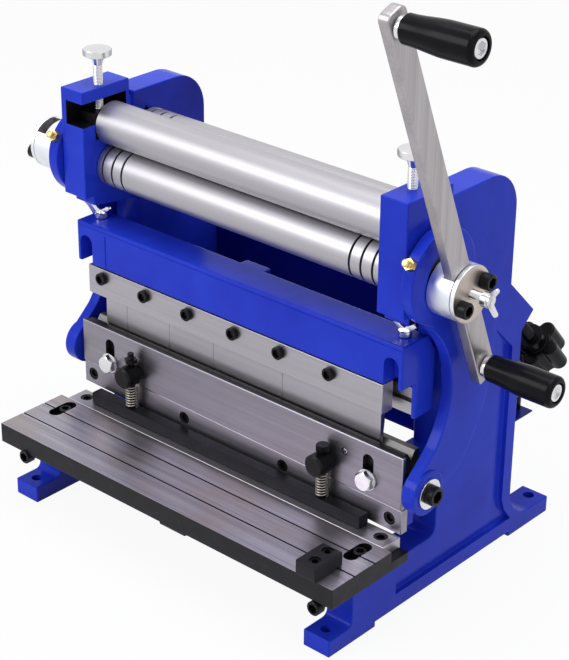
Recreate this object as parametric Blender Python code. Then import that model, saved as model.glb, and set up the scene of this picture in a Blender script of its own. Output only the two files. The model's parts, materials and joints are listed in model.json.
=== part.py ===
"""Combination bench machine for sheet metal: shear, finger brake and slip roll.

Two cast side frames stand on four pads. Between them sit the table with the
lower shear blade, the ram that a pair of link arms drives up and down, the
fixed upper beam with its bending fingers, and three rolls. A crank bar turns
the main shaft, which is the lower roll.

All lengths are metres. X runs along the rolls with the crank at +X, Y runs from
the table to the rear, and Z is up from the bench. Shapes are drawn with x = 0
midway between the frames and y = 0 midway along the feet; one empty then moves
the whole machine so that the middle of its base is the origin.
"""
import math

import bmesh
import bpy
from mathutils import Matrix, Vector

# Clearances and overruns
GAP = 0.0003
CUT_OVER = 0.004

# Working width of twelve inches; everything across the machine follows it
WORK_WIDTH = 0.3048

# Rolls
SHAFT_Y = -0.0400
SHAFT_OVER_BEAM = 0.0492
ROLL_OVER_WIDTH = 0.0028
ROLL_RADIUS = 0.0182
NIP = 0.0004
MAIN_JOURNAL = 0.0100
UPPER_JOURNAL = 0.0080
REAR_JOURNAL = 0.0070
REAR_ROLL_PLAY = 0.0004
REAR_ROLL_BACK = 0.0056
REAR_ROLL_RISE = 0.0028
ROLL_EDGE = 0.0006
GROOVE_PITCH = 0.0112
GROOVE_HALF = 0.0011
GROOVE_DEPTH = 0.0013
GROOVE_FIRST_LEFT = 0.0065
GROOVE_FIRST_RIGHT = 0.0155
GROOVES = 3

# Side frames
HEAD_WIDTH = 0.0256
SHOULDER = 0.0030
PLATE_THICK = 0.0260
PLATE_DEPTH = 0.1030
PLATE_DROP = 0.0115
UPRIGHT_STEP = 0.0020
SUPPORT_REACH = 0.0570
FOOT_REACH = 0.0270
PAD_LENGTH = 0.0560
PAD_HEIGHT = 0.0150
ARCH_HEIGHT = 0.0045
REAR_FLARE = 0.0300
FRONT_FILLET = 0.0050
THROAT_FILLET = 0.0080
NOSE_RUN_Y = 0.0149
NOSE_RUN_Z = 0.0135
NOSE_HEIGHT = 0.0475
TOP_REAR_STEP = 0.0190
TOP_RADIUS = 0.0340
FOOT_HOLE = 0.0048
FOOT_HOLE_FRONT_INSET = 0.0120
FOOT_HOLE_REAR_INSET = 0.0100
RECESS_DEPTH = 0.0045
RECESS_RISE = 0.0030
RECESS_BAND = 0.0120
RECESS_REACH = 0.0480
RECESS_INNER_INSET = 0.0280
RECESS_OUTER_INSET = 0.0120
RECESS_CORNER_REACH = 0.0020
RECESS_TIP_INSET = 0.0364
RECESS_TIP_RISE = 0.0145
RECESS_SHOULDER_DROP = 0.0095

# Head blocks, measured from the rolls
HEAD_AHEAD = 0.0133
HEAD_UNDER = 0.0053
HEAD_OVER = 0.0145
HEAD_BEHIND = 0.0038
CORBEL_STEP = 0.0095
CORBEL_DROP = 0.0080
CORBEL_REAR_DROP = 0.0160
BLOCK_HALF = 0.0175
BLOCK_UNDER = 0.0110
BLOCK_OVER = 0.0107
BLOCK_LENGTH_LEFT = 0.0190
BLOCK_LENGTH_RIGHT = 0.0124
SLOT_ROOF = 0.0100
WINDOW_SILL = 0.0022
BUSH_WALL = 0.0030
GEAR_WIDTH = 0.0090
GEAR_TEETH = 22
GEAR_PRESSURE = math.radians(20)
GEAR_DEDENDUM_SHARE = 1.25
GEAR_ROOM = 0.0006
ROLL_LIFT = 0.0030

# Thumb screws over the upper roll
THUMB_INSET = 0.0085
THUMB_AHEAD = 0.0050
THUMB_SHANK = 0.0040
THUMB_NECK = 0.0060
THUMB_NECK_LENGTH = 0.0080
THUMB_KNOB_RADIUS = 0.0120
THUMB_KNOB_LIFT = 0.0200
THUMB_KNOB_HEIGHT = 0.0130
THUMB_KNOB_EDGE = 0.0010

# Rear roll adjusters, which run down and back through the frames
REAR_TILT = math.radians(48.17)
REAR_BLOCK_HALF = 0.0110
REAR_BLOCK_LENGTH = 0.0180
REAR_TRAVEL_OUT = 0.0200
REAR_TRAVEL_IN = 0.0070
REAR_SCREW = 0.0050
REAR_SCREW_INSET = 0.0115
KNOB_ROOM = 0.0374
KNOB_NECK = 0.0110
KNOB_NECK_LENGTH = 0.0110
KNOB_LENGTH = 0.0290
KNOB_LOBES = 5
KNOB_LOBE_CENTRE = 0.0145
KNOB_LOBE_RADIUS = 0.0068

# Table and lower blade
TABLE_TOP = 0.0692
TABLE_THICK = 0.0177
TABLE_OVER_HEAD = 0.0054
TABLE_DEPTH = 0.0911
LEDGE_DROP = 0.0097
LOWER_BLADE_WIDTH = 0.0211
BLADE_INSET = 0.0033
TABLE_GROOVE_HALF = 0.0008
TABLE_GROOVE_DEPTH = 0.0010
TABLE_GROOVE_ONE_INSET = 0.0253
TABLE_GROOVE_TWO_INSET = 0.0492
TABLE_SLOT_INSET = 0.0140
TABLE_SLOT_REACH = 0.0170
TABLE_SLOT_RADIUS = 0.0060
TABLE_SLOT_DEPTH = 0.0075
TABLE_BORE_RADIUS = 0.0037
TABLE_TRAVEL = 0.0050
TABLE_SCREW_INSET = 0.0220
TABLE_LUG_X = 0.0039
TABLE_LUG_WIDTH = 0.0290
TABLE_LUG_DEPTH = 0.0120
TABLE_LUG_DROP = 0.0025
GUIDE_INSET = 0.0255
GUIDE_WIDTH = 0.0200
GUIDE_REACH = 0.0019
GUIDE_LENGTH = 0.0320
GUIDE_HEIGHT = 0.0128
GUIDE_CHAMFER = 0.0012

# Ram, apron and upper blade
RAM_STROKE = 0.0110
RAM_INSET = 0.0061
RAM_RISE = 0.0228
RAM_HEIGHT = 0.0465
VEE_AHEAD = 0.0070
VEE_HALF = 0.0045
VEE_DEPTH = 0.0065
VEE_LAND = 0.0050
RAM_CHEEK_DROP = 0.0085
RAM_FACE = 0.0087
RAM_SEAT_DEPTH = 0.0147
SHEAR_LEAD = 0.0043
BLADE_THICK = 0.0080
BLADE_OPEN_LEFT = 0.0093
BLADE_OPEN_RIGHT = 0.0012
BLADE_HEIGHT_LEFT = 0.0205
BLADE_HEIGHT_RIGHT = 0.0215
BLADE_SEAT_DROP = 0.0020
APRON_THICK = 0.0045
APRON_OVER_RAM = 0.0004
APRON_SLOT_INSET = 0.0338
APRON_SLOT_RADIUS = 0.0054
APRON_SLOT_RUN = 0.0166
APRON_BOLT_DROP = 0.0305
APRON_BOLT_SHANK = 0.0034
APRON_BOLT_WASHER = 0.0090
APRON_BOLT_WASHER_THICK = 0.0016
APRON_BOLT_HEAD = 0.0150
APRON_BOLT_HEAD_THICK = 0.0055
APRON_LIFT = 0.0020

# Hold-down
HOLD_LEFT_INSET = 0.0670
HOLD_RIGHT_INSET = 0.0736
HOLD_AHEAD = 0.0075
HOLD_BARREL_RADIUS = 0.0095
HOLD_BARREL_LENGTH = 0.0190
HOLD_BARREL_DROP = 0.0275
HOLD_ROD = 0.0028
HOLD_ROD_SEAT = 0.0060
HOLD_HEAD = 0.0056
HOLD_HEAD_HEIGHT = 0.0060
HOLD_BAR_LEFT_INSET = 0.0228
HOLD_BAR_RIGHT_INSET = 0.0303
HOLD_BAR_DEPTH = 0.0110
HOLD_BAR_HEIGHT = 0.0105
HOLD_BAR_EDGE = 0.0008
SPRING_WIRE = 0.0012
SPRING_RADIUS = 0.0049
SPRING_CURLS = 8
SPRING_POINTS = 8

# Upper beam, fingers and their clamp
FINGER_IN_VEE = 0.0035
FINGER_SHOWN = 0.0356
FINGER_THICK = 0.0055
FINGER_WIDTH_SHARES = (1.0, 2.0, 2.0, 3.0, 4.0)
FINGER_TIP_HALF = 0.0006
FINGER_TAPER = 0.0180
FINGER_TOP_DROP = 0.0050
CLAMP_HEIGHT = 0.0255
CLAMP_LEFT_REACH = 0.0062
CLAMP_RIGHT_INSET = 0.0010
CLAMP_STEP = 0.0009
CLAMP_SCREW_DROP = 0.0082
CLAMP_SCREW_SHARES = (0.053, 0.210, 0.365, 0.524, 0.677, 0.839)
CLAMP_SCREW_SHANK = 0.0028
BACKING_REACH = 0.0141
BACKING_UNDER = 0.0026
BACKING_DROP = 0.0060
BACKING_GROOVE_RISE = 0.0105
BACKING_GROOVE = 0.0040
BACKING_GROOVE_DEPTH = 0.0050
BEAM_FACE = 0.0169
BEAM_HEIGHT = 0.0368
BEAM_LIP_ROOM = 0.0014
BEAM_LEG_DROP = 0.0036
BEAM_LEG_THICK = 0.0092
BEAM_BACK_ROOM = 0.0078
BEAM_BACK_SLOPE = 0.0100
BEAM_EDGE = 0.0015
BEAM_END = 0.0035
BEAM_CHEEK_DEPTH = 0.0232
BEAM_BOSS_LEFT = 0.0155
BEAM_BOSS_RIGHT = 0.0105
BEAM_BOSS_INSET = 0.0018
BEAM_BOSS_HEIGHT = 0.0080
NOTCH_INSET = 0.0028
NOTCH_WIDTH = 0.0144
NOTCH_ROOF = 0.0117
LUG_STEP = 0.0119
LUG_RISE = 0.0030
WING_INSET = 0.0057
WING_BEHIND = 0.0169
WING_SHANK = 0.0040
WING_COLLAR = 0.0052
WING_COLLAR_HEIGHT = 0.0050
WING_SPAN = 0.0115
WING_RISE = 0.0075
WING_THICK = 0.0030
WING_WAIST = 0.0048

# Link arms, eccentrics and their pins; the shares run from the pin up to the shaft
ARM_GAP = 0.0010
ARM_THICK = 0.0104
ARM_RING = 0.0380
ARM_BOSS = 0.0185
ARM_BOSS_MERGE = math.radians(132)
ARM_BOSS_RISE = 0.0020
ECCENTRIC = 0.0200
SHAFT_ROOM = 0.0004
PIN_AHEAD = 0.0088
PIN_DROP = 0.0280
PIN_SHANK = 0.0050
PIN_WASHER = 0.0125
PIN_WASHER_THICK = 0.0015
PIN_HEAD = 0.0080
PIN_HEAD_HEIGHT = 0.0068
PIN_DEPTH = 0.0300
RAM_BOSS = 0.0068
ARM_THROAT_TOP_AHEAD = 0.0100
ARM_THROAT_TOP_SHARE = 0.797
ARM_THROAT_BEHIND = 0.0168
ARM_THROAT_SHARE = 0.466
ARM_THROAT_LOW_AHEAD = 0.0004
ARM_THROAT_LOW_SHARE = 0.187
ARM_BACK_BEHIND = 0.0690
ARM_BACK_TOP_SHARE = 0.729
ARM_BACK_LOW_SHARE = 0.483
ARM_BEND_BEHIND = 0.0640
ARM_BEND_SHARE = 0.352
ARM_HEEL_BEHIND = 0.0304
ARM_HEEL_SHARE = 0.030

# Hubs, crank bar and grips
HUB_RADIUS = 0.0222
HUB_LENGTH_RIGHT = 0.0208
HUB_LENGTH_LEFT = 0.0357
HUB_DISC_THICK = 0.0037
HUB_WING_REACH_LEFT = 0.0085
HUB_WING_REACH_RIGHT = 0.0155
CRANK_THICK = 0.0096
CRANK_WIDTH = 0.0200
CRANK_TILT = math.radians(22.25)
CRANK_TOP = 0.2500
CRANK_LOW = 0.0880
CRANK_CORNER = 0.0060
GRIP_HIGH_INSET = 0.0129
GRIP_LOW_INSET = 0.0121
GRIP_LENGTH = 0.0590
GRIP_RADIUS = 0.0126
GRIP_NECK = 0.0105
GRIP_BORE = 0.0040
GRIP_RECESS = 0.0080
GRIP_RECESS_DEPTH = 0.0060
SPINDLE_COLLAR = 0.0090
SPINDLE_COLLAR_LENGTH = 0.0050
SPINDLE_RADIUS = 0.0036
SPINDLE_HEAD = 0.0074
SPINDLE_HEAD_THICK = 0.0045

# Rear shelf between the frames, and the wall that stands on it
SHELF_TOP = 0.0863
SHELF_THICK = 0.0012
SHELF_INSET = 0.0715
SHELF_REACH = 0.0637
WALL_THICK = 0.0012
WALL_INSET = 0.0040
WALL_TOP = 0.1950

# Facets round a full turn and along an arc
FINE_SIDES = 28
ROUND_SIDES = 24
SMALL_SIDES = 12
WIDE_STEPS = 12
ARC_STEPS = 8
FILLET_STEPS = 5
LOBE_STEPS = 6

# Heights, from the table up to the rolls
TABLE_BOTTOM = TABLE_TOP - TABLE_THICK
SUPPORT_TOP = TABLE_BOTTOM - GAP
LEDGE_TOP = TABLE_TOP - LEDGE_DROP
BLADE_LOW_LEFT = TABLE_TOP + BLADE_OPEN_LEFT
BLADE_LOW_RIGHT = TABLE_TOP + BLADE_OPEN_RIGHT
SEAM_LEFT = BLADE_LOW_LEFT + BLADE_HEIGHT_LEFT
SEAM_RIGHT = BLADE_LOW_RIGHT + BLADE_HEIGHT_RIGHT
RAM_WAIST = TABLE_TOP + RAM_RISE
RAM_TOP = RAM_WAIST + RAM_HEIGHT
APRON_TOP = RAM_TOP + APRON_OVER_RAM
APRON_BOLT_Z = RAM_TOP - APRON_BOLT_DROP
APRON_SLOT_LOW = APRON_BOLT_Z - APRON_LIFT
APRON_SLOT_HIGH = APRON_BOLT_Z + APRON_SLOT_RUN
HOLD_BARREL_Z = RAM_TOP - HOLD_BARREL_DROP
HOLD_BAR_LOW = TABLE_TOP + GAP
HOLD_BAR_TOP = HOLD_BAR_LOW + HOLD_BAR_HEIGHT
BARREL_LOW = HOLD_BARREL_Z - HOLD_BARREL_RADIUS
BARREL_TOP = HOLD_BARREL_Z + HOLD_BARREL_RADIUS
PIN_Z = RAM_TOP - PIN_DROP
FINGER_TIP = RAM_TOP - FINGER_IN_VEE
CLAMP_LOW = FINGER_TIP + FINGER_SHOWN
CLAMP_TOP = CLAMP_LOW + CLAMP_HEIGHT
CLAMP_SCREW_Z = CLAMP_TOP - CLAMP_SCREW_DROP
BEAM_LIP = CLAMP_TOP + BEAM_LIP_ROOM
BEAM_TOP = BEAM_LIP + BEAM_HEIGHT
BEAM_LEG_LOW = CLAMP_LOW - BEAM_LEG_DROP
NOTCH_CROWN = BEAM_TOP - NOTCH_ROOF
LUG_LOW = BEAM_LIP + LUG_RISE
FINGER_TOP = BEAM_LIP - FINGER_TOP_DROP
BACKING_LOW = CLAMP_LOW - BACKING_UNDER
BACKING_TOP = BEAM_LIP - BACKING_DROP
BACKING_GROOVE_LOW = BACKING_LOW + BACKING_GROOVE_RISE
SHAFT_Z = BEAM_TOP + SHAFT_OVER_BEAM
UPPER_Z = SHAFT_Z + 2 * ROLL_RADIUS + NIP
REAR_Z = SHAFT_Z + ROLL_RADIUS + REAR_ROLL_RISE
RING_Z = SHAFT_Z + RAM_STROKE / 2
HEAD_BOTTOM = SHAFT_Z - ROLL_RADIUS - HEAD_UNDER
HEAD_TOP = UPPER_Z + ROLL_RADIUS + HEAD_OVER
PLATE_TOP = HEAD_TOP - PLATE_DROP
SLOT_TOP = HEAD_TOP - SLOT_ROOF
THUMB_KNOB_Z = HEAD_TOP + THUMB_KNOB_LIFT
BLOCK_BOTTOM = UPPER_Z - BLOCK_UNDER
BLOCK_TOP = UPPER_Z + BLOCK_OVER

# Gears, which turn the upper roll from the main shaft
GEAR_PITCH = (UPPER_Z - SHAFT_Z) / 2
GEAR_MODULE = 2 * GEAR_PITCH / GEAR_TEETH
GEAR_TIP = GEAR_PITCH + GEAR_MODULE
GEAR_ROOT = GEAR_PITCH - GEAR_DEDENDUM_SHARE * GEAR_MODULE
POCKET_HALF = GEAR_TIP + GEAR_ROOM
BUSH_OUTER = MAIN_JOURNAL + GAP + BUSH_WALL

# Depths, from the main shaft forward and back
HEAD_FRONT = SHAFT_Y - ROLL_RADIUS - HEAD_AHEAD
HEAD_BACK = SHAFT_Y + ROLL_RADIUS + HEAD_BEHIND
UPRIGHT_FRONT = HEAD_BACK + UPRIGHT_STEP
PLATE_REAR = UPRIGHT_FRONT + PLATE_DEPTH
TOP_REAR_Y = PLATE_REAR - TOP_REAR_STEP
CORBEL_FRONT = HEAD_FRONT + CORBEL_STEP
THUMB_Y = SHAFT_Y - THUMB_AHEAD
REAR_Y = SHAFT_Y + 2 * ROLL_RADIUS + REAR_ROLL_BACK
PIN_Y = SHAFT_Y - PIN_AHEAD
VEE_Y = SHAFT_Y - VEE_AHEAD
RAM_FRONT = VEE_Y - RAM_FACE
VEE_LAND_REAR = VEE_Y + VEE_HALF + VEE_LAND
RAM_REAR = UPRIGHT_FRONT - GAP
RAM_HOLLOW_FRONT = RAM_FRONT + RAM_SEAT_DEPTH
APRON_BACK = RAM_FRONT - GAP
APRON_FRONT = APRON_BACK - APRON_THICK
SHEAR_LINE = RAM_FRONT - SHEAR_LEAD
BLADE_FACE = SHEAR_LINE + GAP
BLADE_BACK = BLADE_FACE + BLADE_THICK
BLADE_FRONT = SHEAR_LINE - LOWER_BLADE_WIDTH
TABLE_FRONT = SHEAR_LINE - TABLE_DEPTH
TABLE_GROOVE_ONE = TABLE_FRONT + TABLE_GROOVE_ONE_INSET
TABLE_GROOVE_TWO = TABLE_FRONT + TABLE_GROOVE_TWO_INSET
GUIDE_FRONT = TABLE_FRONT - GUIDE_REACH
SUPPORT_FRONT = SHEAR_LINE - SUPPORT_REACH
TABLE_SCREW_Y = SUPPORT_FRONT + TABLE_SCREW_INSET
TABLE_SLOT_FRONT = TABLE_SCREW_Y - TABLE_SLOT_REACH
TABLE_SLOT_REAR = TABLE_SCREW_Y + TABLE_TRAVEL + TABLE_SLOT_RADIUS
HOLD_Y = APRON_FRONT - HOLD_AHEAD
HOLD_BAR_FRONT = HOLD_Y - HOLD_BAR_DEPTH / 2
BEAM_FRONT = VEE_Y - BEAM_FACE
BEAM_REAR = UPRIGHT_FRONT - BEAM_BACK_ROOM
BEAM_REAR_TOP = BEAM_REAR - BEAM_BACK_SLOPE
BEAM_LEG_FRONT = BEAM_REAR - BEAM_LEG_THICK
BEAM_CHEEK_FRONT = BEAM_REAR - BEAM_CHEEK_DEPTH
BEAM_BOSS_REAR = BEAM_REAR - BEAM_BOSS_INSET
LUG_FRONT = BEAM_FRONT + LUG_STEP
WING_Y = BEAM_FRONT + WING_BEHIND
CLAMP_FRONT = BEAM_FRONT + CLAMP_STEP
FINGER_FRONT = VEE_Y - FINGER_THICK / 2
FINGER_BACK = VEE_Y + FINGER_THICK / 2
SHELF_FRONT = UPRIGHT_FRONT + SHELF_INSET
SHELF_REAR = PLATE_REAR + SHELF_REACH
WALL_BACK = PLATE_REAR - WALL_INSET
WALL_FRONT = WALL_BACK - WALL_THICK
FOOT_FRONT = SUPPORT_FRONT - FOOT_REACH
FOOT_REAR = PLATE_REAR + REAR_FLARE + FOOT_REACH
FOOT_HOLE_FRONT = FOOT_FRONT + FOOT_HOLE_FRONT_INSET
FOOT_HOLE_REAR = FOOT_REAR - FOOT_HOLE_REAR_INSET

# Nose of each frame, square to the rear adjuster that leaves it
NOSE_Y = PLATE_REAR + NOSE_RUN_Y / 2
NOSE_REACH = (NOSE_Y - REAR_Y) / math.cos(REAR_TILT)
NOSE_LOW_Z = REAR_Z - NOSE_REACH * math.sin(REAR_TILT) - NOSE_RUN_Z / 2
NOSE_TOP_Z = NOSE_LOW_Z + NOSE_HEIGHT
KNOB_START = NOSE_REACH + KNOB_ROOM
KNOB_END = KNOB_START + KNOB_NECK_LENGTH + KNOB_LENGTH
KNOB_OUTER = KNOB_LOBE_CENTRE + KNOB_LOBE_RADIUS

# Sunk band in each frame's outer face
RECESS_LOW = PAD_HEIGHT + RECESS_RISE
RECESS_FRONT = UPRIGHT_FRONT - RECESS_REACH
RECESS_INNER = PLATE_REAR - RECESS_INNER_INSET
RECESS_OUTER = PLATE_REAR - RECESS_OUTER_INSET
RECESS_CORNER = PLATE_REAR + RECESS_CORNER_REACH
RECESS_TIP_Y = PLATE_REAR - RECESS_TIP_INSET
RECESS_TIP_Z = NOSE_LOW_Z + RECESS_TIP_RISE
RECESS_SHOULDER_Z = NOSE_LOW_Z - RECESS_SHOULDER_DROP

# Link arm outline, measured from the main shaft
ARM_REACH = SHAFT_Z - PIN_Z
ARM_BOSS_TOP = (PIN_Y + ARM_BOSS * math.cos(ARM_BOSS_MERGE),
                PIN_Z + ARM_BOSS * math.sin(ARM_BOSS_MERGE))
ARM_THROAT_TOP = (SHAFT_Y - ARM_THROAT_TOP_AHEAD, PIN_Z + ARM_THROAT_TOP_SHARE * ARM_REACH)
ARM_THROAT = (SHAFT_Y + ARM_THROAT_BEHIND, PIN_Z + ARM_THROAT_SHARE * ARM_REACH)
ARM_THROAT_LOW = (SHAFT_Y - ARM_THROAT_LOW_AHEAD, PIN_Z + ARM_THROAT_LOW_SHARE * ARM_REACH)
ARM_BACK_TOP = (SHAFT_Y + ARM_BACK_BEHIND, PIN_Z + ARM_BACK_TOP_SHARE * ARM_REACH)
ARM_BACK_LOW = (SHAFT_Y + ARM_BACK_BEHIND, PIN_Z + ARM_BACK_LOW_SHARE * ARM_REACH)
ARM_BEND = (SHAFT_Y + ARM_BEND_BEHIND, PIN_Z + ARM_BEND_SHARE * ARM_REACH)
ARM_HEEL = (SHAFT_Y + ARM_HEEL_BEHIND, PIN_Z + ARM_HEEL_SHARE * ARM_REACH)

# Places across the machine, from the middle out
ROLL_HALF = WORK_WIDTH / 2 + ROLL_OVER_WIDTH
HEAD_INNER = ROLL_HALF + GAP
HEAD_OUTER = HEAD_INNER + HEAD_WIDTH
PLATE_INNER = HEAD_INNER - SHOULDER
PLATE_OUTER = PLATE_INNER + PLATE_THICK
REAR_ROLL_HALF = PLATE_INNER - GAP - REAR_ROLL_PLAY
BLOCK_LENGTH = {-1: BLOCK_LENGTH_LEFT, 1: BLOCK_LENGTH_RIGHT}
GEAR_INNER = HEAD_INNER + BLOCK_LENGTH_RIGHT + 3 * GAP
GEAR_OUTER = GEAR_INNER + GEAR_WIDTH
THUMB_X = HEAD_INNER + THUMB_INSET
REAR_SCREW_X = PLATE_INNER + REAR_SCREW_INSET
TABLE_HALF = HEAD_OUTER + TABLE_OVER_HEAD
TABLE_SLOT_X = PLATE_INNER + TABLE_SLOT_INSET
GUIDE_X = TABLE_HALF - GUIDE_INSET
BLADE_HALF = HEAD_OUTER - BLADE_INSET
RAM_HALF = HEAD_OUTER - RAM_INSET
APRON_SLOT_X = BLADE_HALF - APRON_SLOT_INSET
HOLD_LEFT_X = HOLD_LEFT_INSET - BLADE_HALF
HOLD_RIGHT_X = BLADE_HALF - HOLD_RIGHT_INSET
HOLD_BAR_LEFT = HOLD_BAR_LEFT_INSET - BLADE_HALF
HOLD_BAR_RIGHT = BLADE_HALF - HOLD_BAR_RIGHT_INSET
NOTCH_INNER = HEAD_INNER + NOTCH_INSET
NOTCH_OUTER = NOTCH_INNER + NOTCH_WIDTH
BEAM_HALF = NOTCH_OUTER + BEAM_END
WING_X = NOTCH_INNER + WING_INSET
FINGER_START = -NOTCH_INNER
FINGER_UNIT = WORK_WIDTH / sum(FINGER_WIDTH_SHARES)
CLAMP_LEFT = -NOTCH_INNER - CLAMP_LEFT_REACH
CLAMP_RIGHT = NOTCH_INNER - CLAMP_RIGHT_INSET
CLAMP_SCREW_PLACES = [CLAMP_LEFT + share * (CLAMP_RIGHT - CLAMP_LEFT)
                      for share in CLAMP_SCREW_SHARES]
BACKING_HALF = NOTCH_INNER + BACKING_REACH
ARM_INNER = HEAD_OUTER + ARM_GAP
ARM_OUTER = ARM_INNER + ARM_THICK
HUB_INNER = ARM_OUTER + 2 * GAP
HUB_LENGTH = {-1: HUB_LENGTH_LEFT, 1: HUB_LENGTH_RIGHT}
HUB_WING_REACH = {-1: HUB_WING_REACH_LEFT, 1: HUB_WING_REACH_RIGHT}
CRANK_UP = Vector((0.0, -math.sin(CRANK_TILT), math.cos(CRANK_TILT)))
GRIP_HIGH_AT = CRANK_TOP - GRIP_HIGH_INSET
GRIP_LOW_AT = CRANK_LOW - GRIP_LOW_INSET

# Outer limits that place the origin under the middle of the machine
REACH_RIGHT = (HUB_INNER + HUB_LENGTH_RIGHT + SPINDLE_COLLAR_LENGTH + GRIP_LENGTH
               + 2 * GAP)
REACH_LEFT = (HUB_INNER + HUB_LENGTH_LEFT + GAP + HUB_DISC_THICK + GAP
              + HUB_WING_REACH_LEFT + WING_RISE)
REACH_REAR = REAR_Y + KNOB_END * math.cos(REAR_TILT) + KNOB_OUTER * math.sin(REAR_TILT)
REACH_FRONT = GUIDE_FRONT
MIDDLE_X = (REACH_RIGHT - REACH_LEFT) / 2
MIDDLE_Y = (REACH_REAR + REACH_FRONT) / 2

SIDE_NAMES = {-1: "left", 1: "right"}


# Scene, materials and objects

def clear_scene():
    """Remove every object that the open file holds."""
    for old in list(bpy.data.objects):
        bpy.data.objects.remove(old, do_unlink=True)


def make_material(name, color, roughness, metallic):
    """Return a plain Principled material."""
    mat = bpy.data.materials.new(name)
    mat.use_nodes = True
    shader = mat.node_tree.nodes["Principled BSDF"]
    shader.inputs["Base Color"].default_value = (*color, 1.0)
    shader.inputs["Roughness"].default_value = roughness
    shader.inputs["Metallic"].default_value = metallic
    mat.diffuse_color = (*color, 1.0)
    return mat


clear_scene()

BLUE_PAINT = make_material("blue_paint", (0.035, 0.060, 0.560), 0.35, 0.0)
GROUND_STEEL = make_material("ground_steel", (0.560, 0.545, 0.540), 0.30, 1.0)
BRIGHT_CHROME = make_material("bright_chrome", (0.780, 0.780, 0.800), 0.15, 1.0)
DARK_IRON = make_material("dark_iron", (0.060, 0.065, 0.075), 0.50, 0.8)
TABLE_IRON = make_material("table_iron", (0.270, 0.265, 0.270), 0.45, 0.8)
BLACK_OXIDE = make_material("black_oxide", (0.012, 0.012, 0.013), 0.40, 0.6)
BLACK_PLASTIC = make_material("black_plastic", (0.010, 0.010, 0.012), 0.25, 0.0)
BRONZE = make_material("bronze", (0.420, 0.260, 0.090), 0.35, 1.0)
SPRING_STEEL = make_material("spring_steel", (0.300, 0.290, 0.250), 0.30, 1.0)


def make_empty(name, place, parent=None):
    """Return an empty at a place given in machine coordinates."""
    empty = bpy.data.objects.new(name, None)
    bpy.context.collection.objects.link(empty)
    empty.location = place
    if parent is not None:
        empty.parent = parent
    return empty


MACHINE = make_empty("machine_base", (-MIDDLE_X, -MIDDLE_Y, 0.0))


def link_mesh(name, mesh, origin):
    """Link a mesh drawn in machine coordinates with its origin on a chosen point."""
    point = Vector(origin)
    mesh.transform(Matrix.Translation(-point))
    obj = bpy.data.objects.new(name, mesh)
    bpy.context.collection.objects.link(obj)
    obj.parent = MACHINE
    obj.location = point
    return obj


def add_boolean(target, tool, operation):
    """Cut a hidden tool from a target, or join it on."""
    tool.hide_render = True
    tool.display_type = "WIRE"
    step = target.modifiers.new(tool.name, "BOOLEAN")
    step.operation = operation
    step.solver = "EXACT"
    step.object = tool


def add_piece(name, base, mat, origin=(0.0, 0.0, 0.0), joins=(), cuts=()):
    """Make one named solid from a base mesh, meshes joined on and meshes cut out."""
    obj = link_mesh(name, base, origin)
    obj.data.materials.clear()
    obj.data.materials.append(mat)
    for index, mesh in enumerate(joins):
        tool = link_mesh(f"{name}_join_{index}", mesh, origin)
        add_boolean(obj, tool, "UNION")
    for index, mesh in enumerate(cuts):
        tool = link_mesh(f"{name}_cut_{index}", mesh, origin)
        add_boolean(obj, tool, "DIFFERENCE")
    return obj


def finish_mesh(name, bm):
    """Turn a closed bmesh into a mesh with outward faces and smooth round sides."""
    bmesh.ops.recalc_face_normals(bm, faces=bm.faces[:])
    mesh = bpy.data.meshes.new(name)
    bm.to_mesh(mesh)
    bm.free()
    mesh.shade_smooth()
    mesh.set_sharp_from_angle(angle=math.radians(32))
    return mesh


# Outlines and solids

def circle(centre_a, centre_b, radius, sides):
    """Return the points of a circle, with a flat facing each way of the two axes."""
    points = []
    for index in range(sides):
        angle = 2 * math.pi * (index + 0.5) / sides
        points.append((centre_a + radius * math.cos(angle),
                       centre_b + radius * math.sin(angle)))
    return points


def arc(centre_a, centre_b, radius, start, end, steps):
    """Return points along an arc between two angles in degrees."""
    points = []
    for index in range(steps + 1):
        angle = math.radians(start + (end - start) * index / steps)
        points.append((centre_a + radius * math.cos(angle),
                       centre_b + radius * math.sin(angle)))
    return points


def arc_through(first, middle, last, steps):
    """Return points along the arc that runs through three points."""
    first, middle, last = Vector(first), Vector(middle), Vector(last)
    span_one = middle - first
    span_two = last - first
    cross = 2 * (span_one.x * span_two.y - span_one.y * span_two.x)
    off_x = (span_two.y * span_one.length_squared
             - span_one.y * span_two.length_squared) / cross
    off_y = (span_one.x * span_two.length_squared
             - span_two.x * span_one.length_squared) / cross
    centre = first + Vector((off_x, off_y))
    radius = (first - centre).length
    start = math.atan2(first.y - centre.y, first.x - centre.x)
    end = math.atan2(last.y - centre.y, last.x - centre.x)
    sweep = end - start
    if cross > 0:
        sweep %= 2 * math.pi
    else:
        sweep = -((-sweep) % (2 * math.pi))
    points = []
    for index in range(steps + 1):
        angle = start + sweep * index / steps
        points.append((centre.x + radius * math.cos(angle),
                       centre.y + radius * math.sin(angle)))
    return points


def slot_outline(centre_a, low_b, high_b, radius, steps):
    """Return an upright slot with round ends about two centres."""
    return (arc(centre_a, high_b, radius, 0, 180, steps)
            + arc(centre_a, low_b, radius, 180, 360, steps))


def axis_point(axis, along, first, second):
    """Return a 3D point from a place along an axis and its two cross coordinates."""
    if axis == "X":
        return (along, first, second)
    if axis == "Y":
        return (first, along, second)
    return (first, second, along)


def prism(outline, axis, low, high):
    """Extrude an outline along X (y, z), Y (x, z) or Z (x, y)."""
    bm = bmesh.new()
    lower = [bm.verts.new(axis_point(axis, low, a, b)) for a, b in outline]
    upper = [bm.verts.new(axis_point(axis, high, a, b)) for a, b in outline]
    bm.faces.new(lower)
    bm.faces.new(upper)
    count = len(outline)
    for index in range(count):
        after = (index + 1) % count
        bm.faces.new((lower[index], lower[after], upper[after], upper[index]))
    return finish_mesh("prism", bm)


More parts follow.
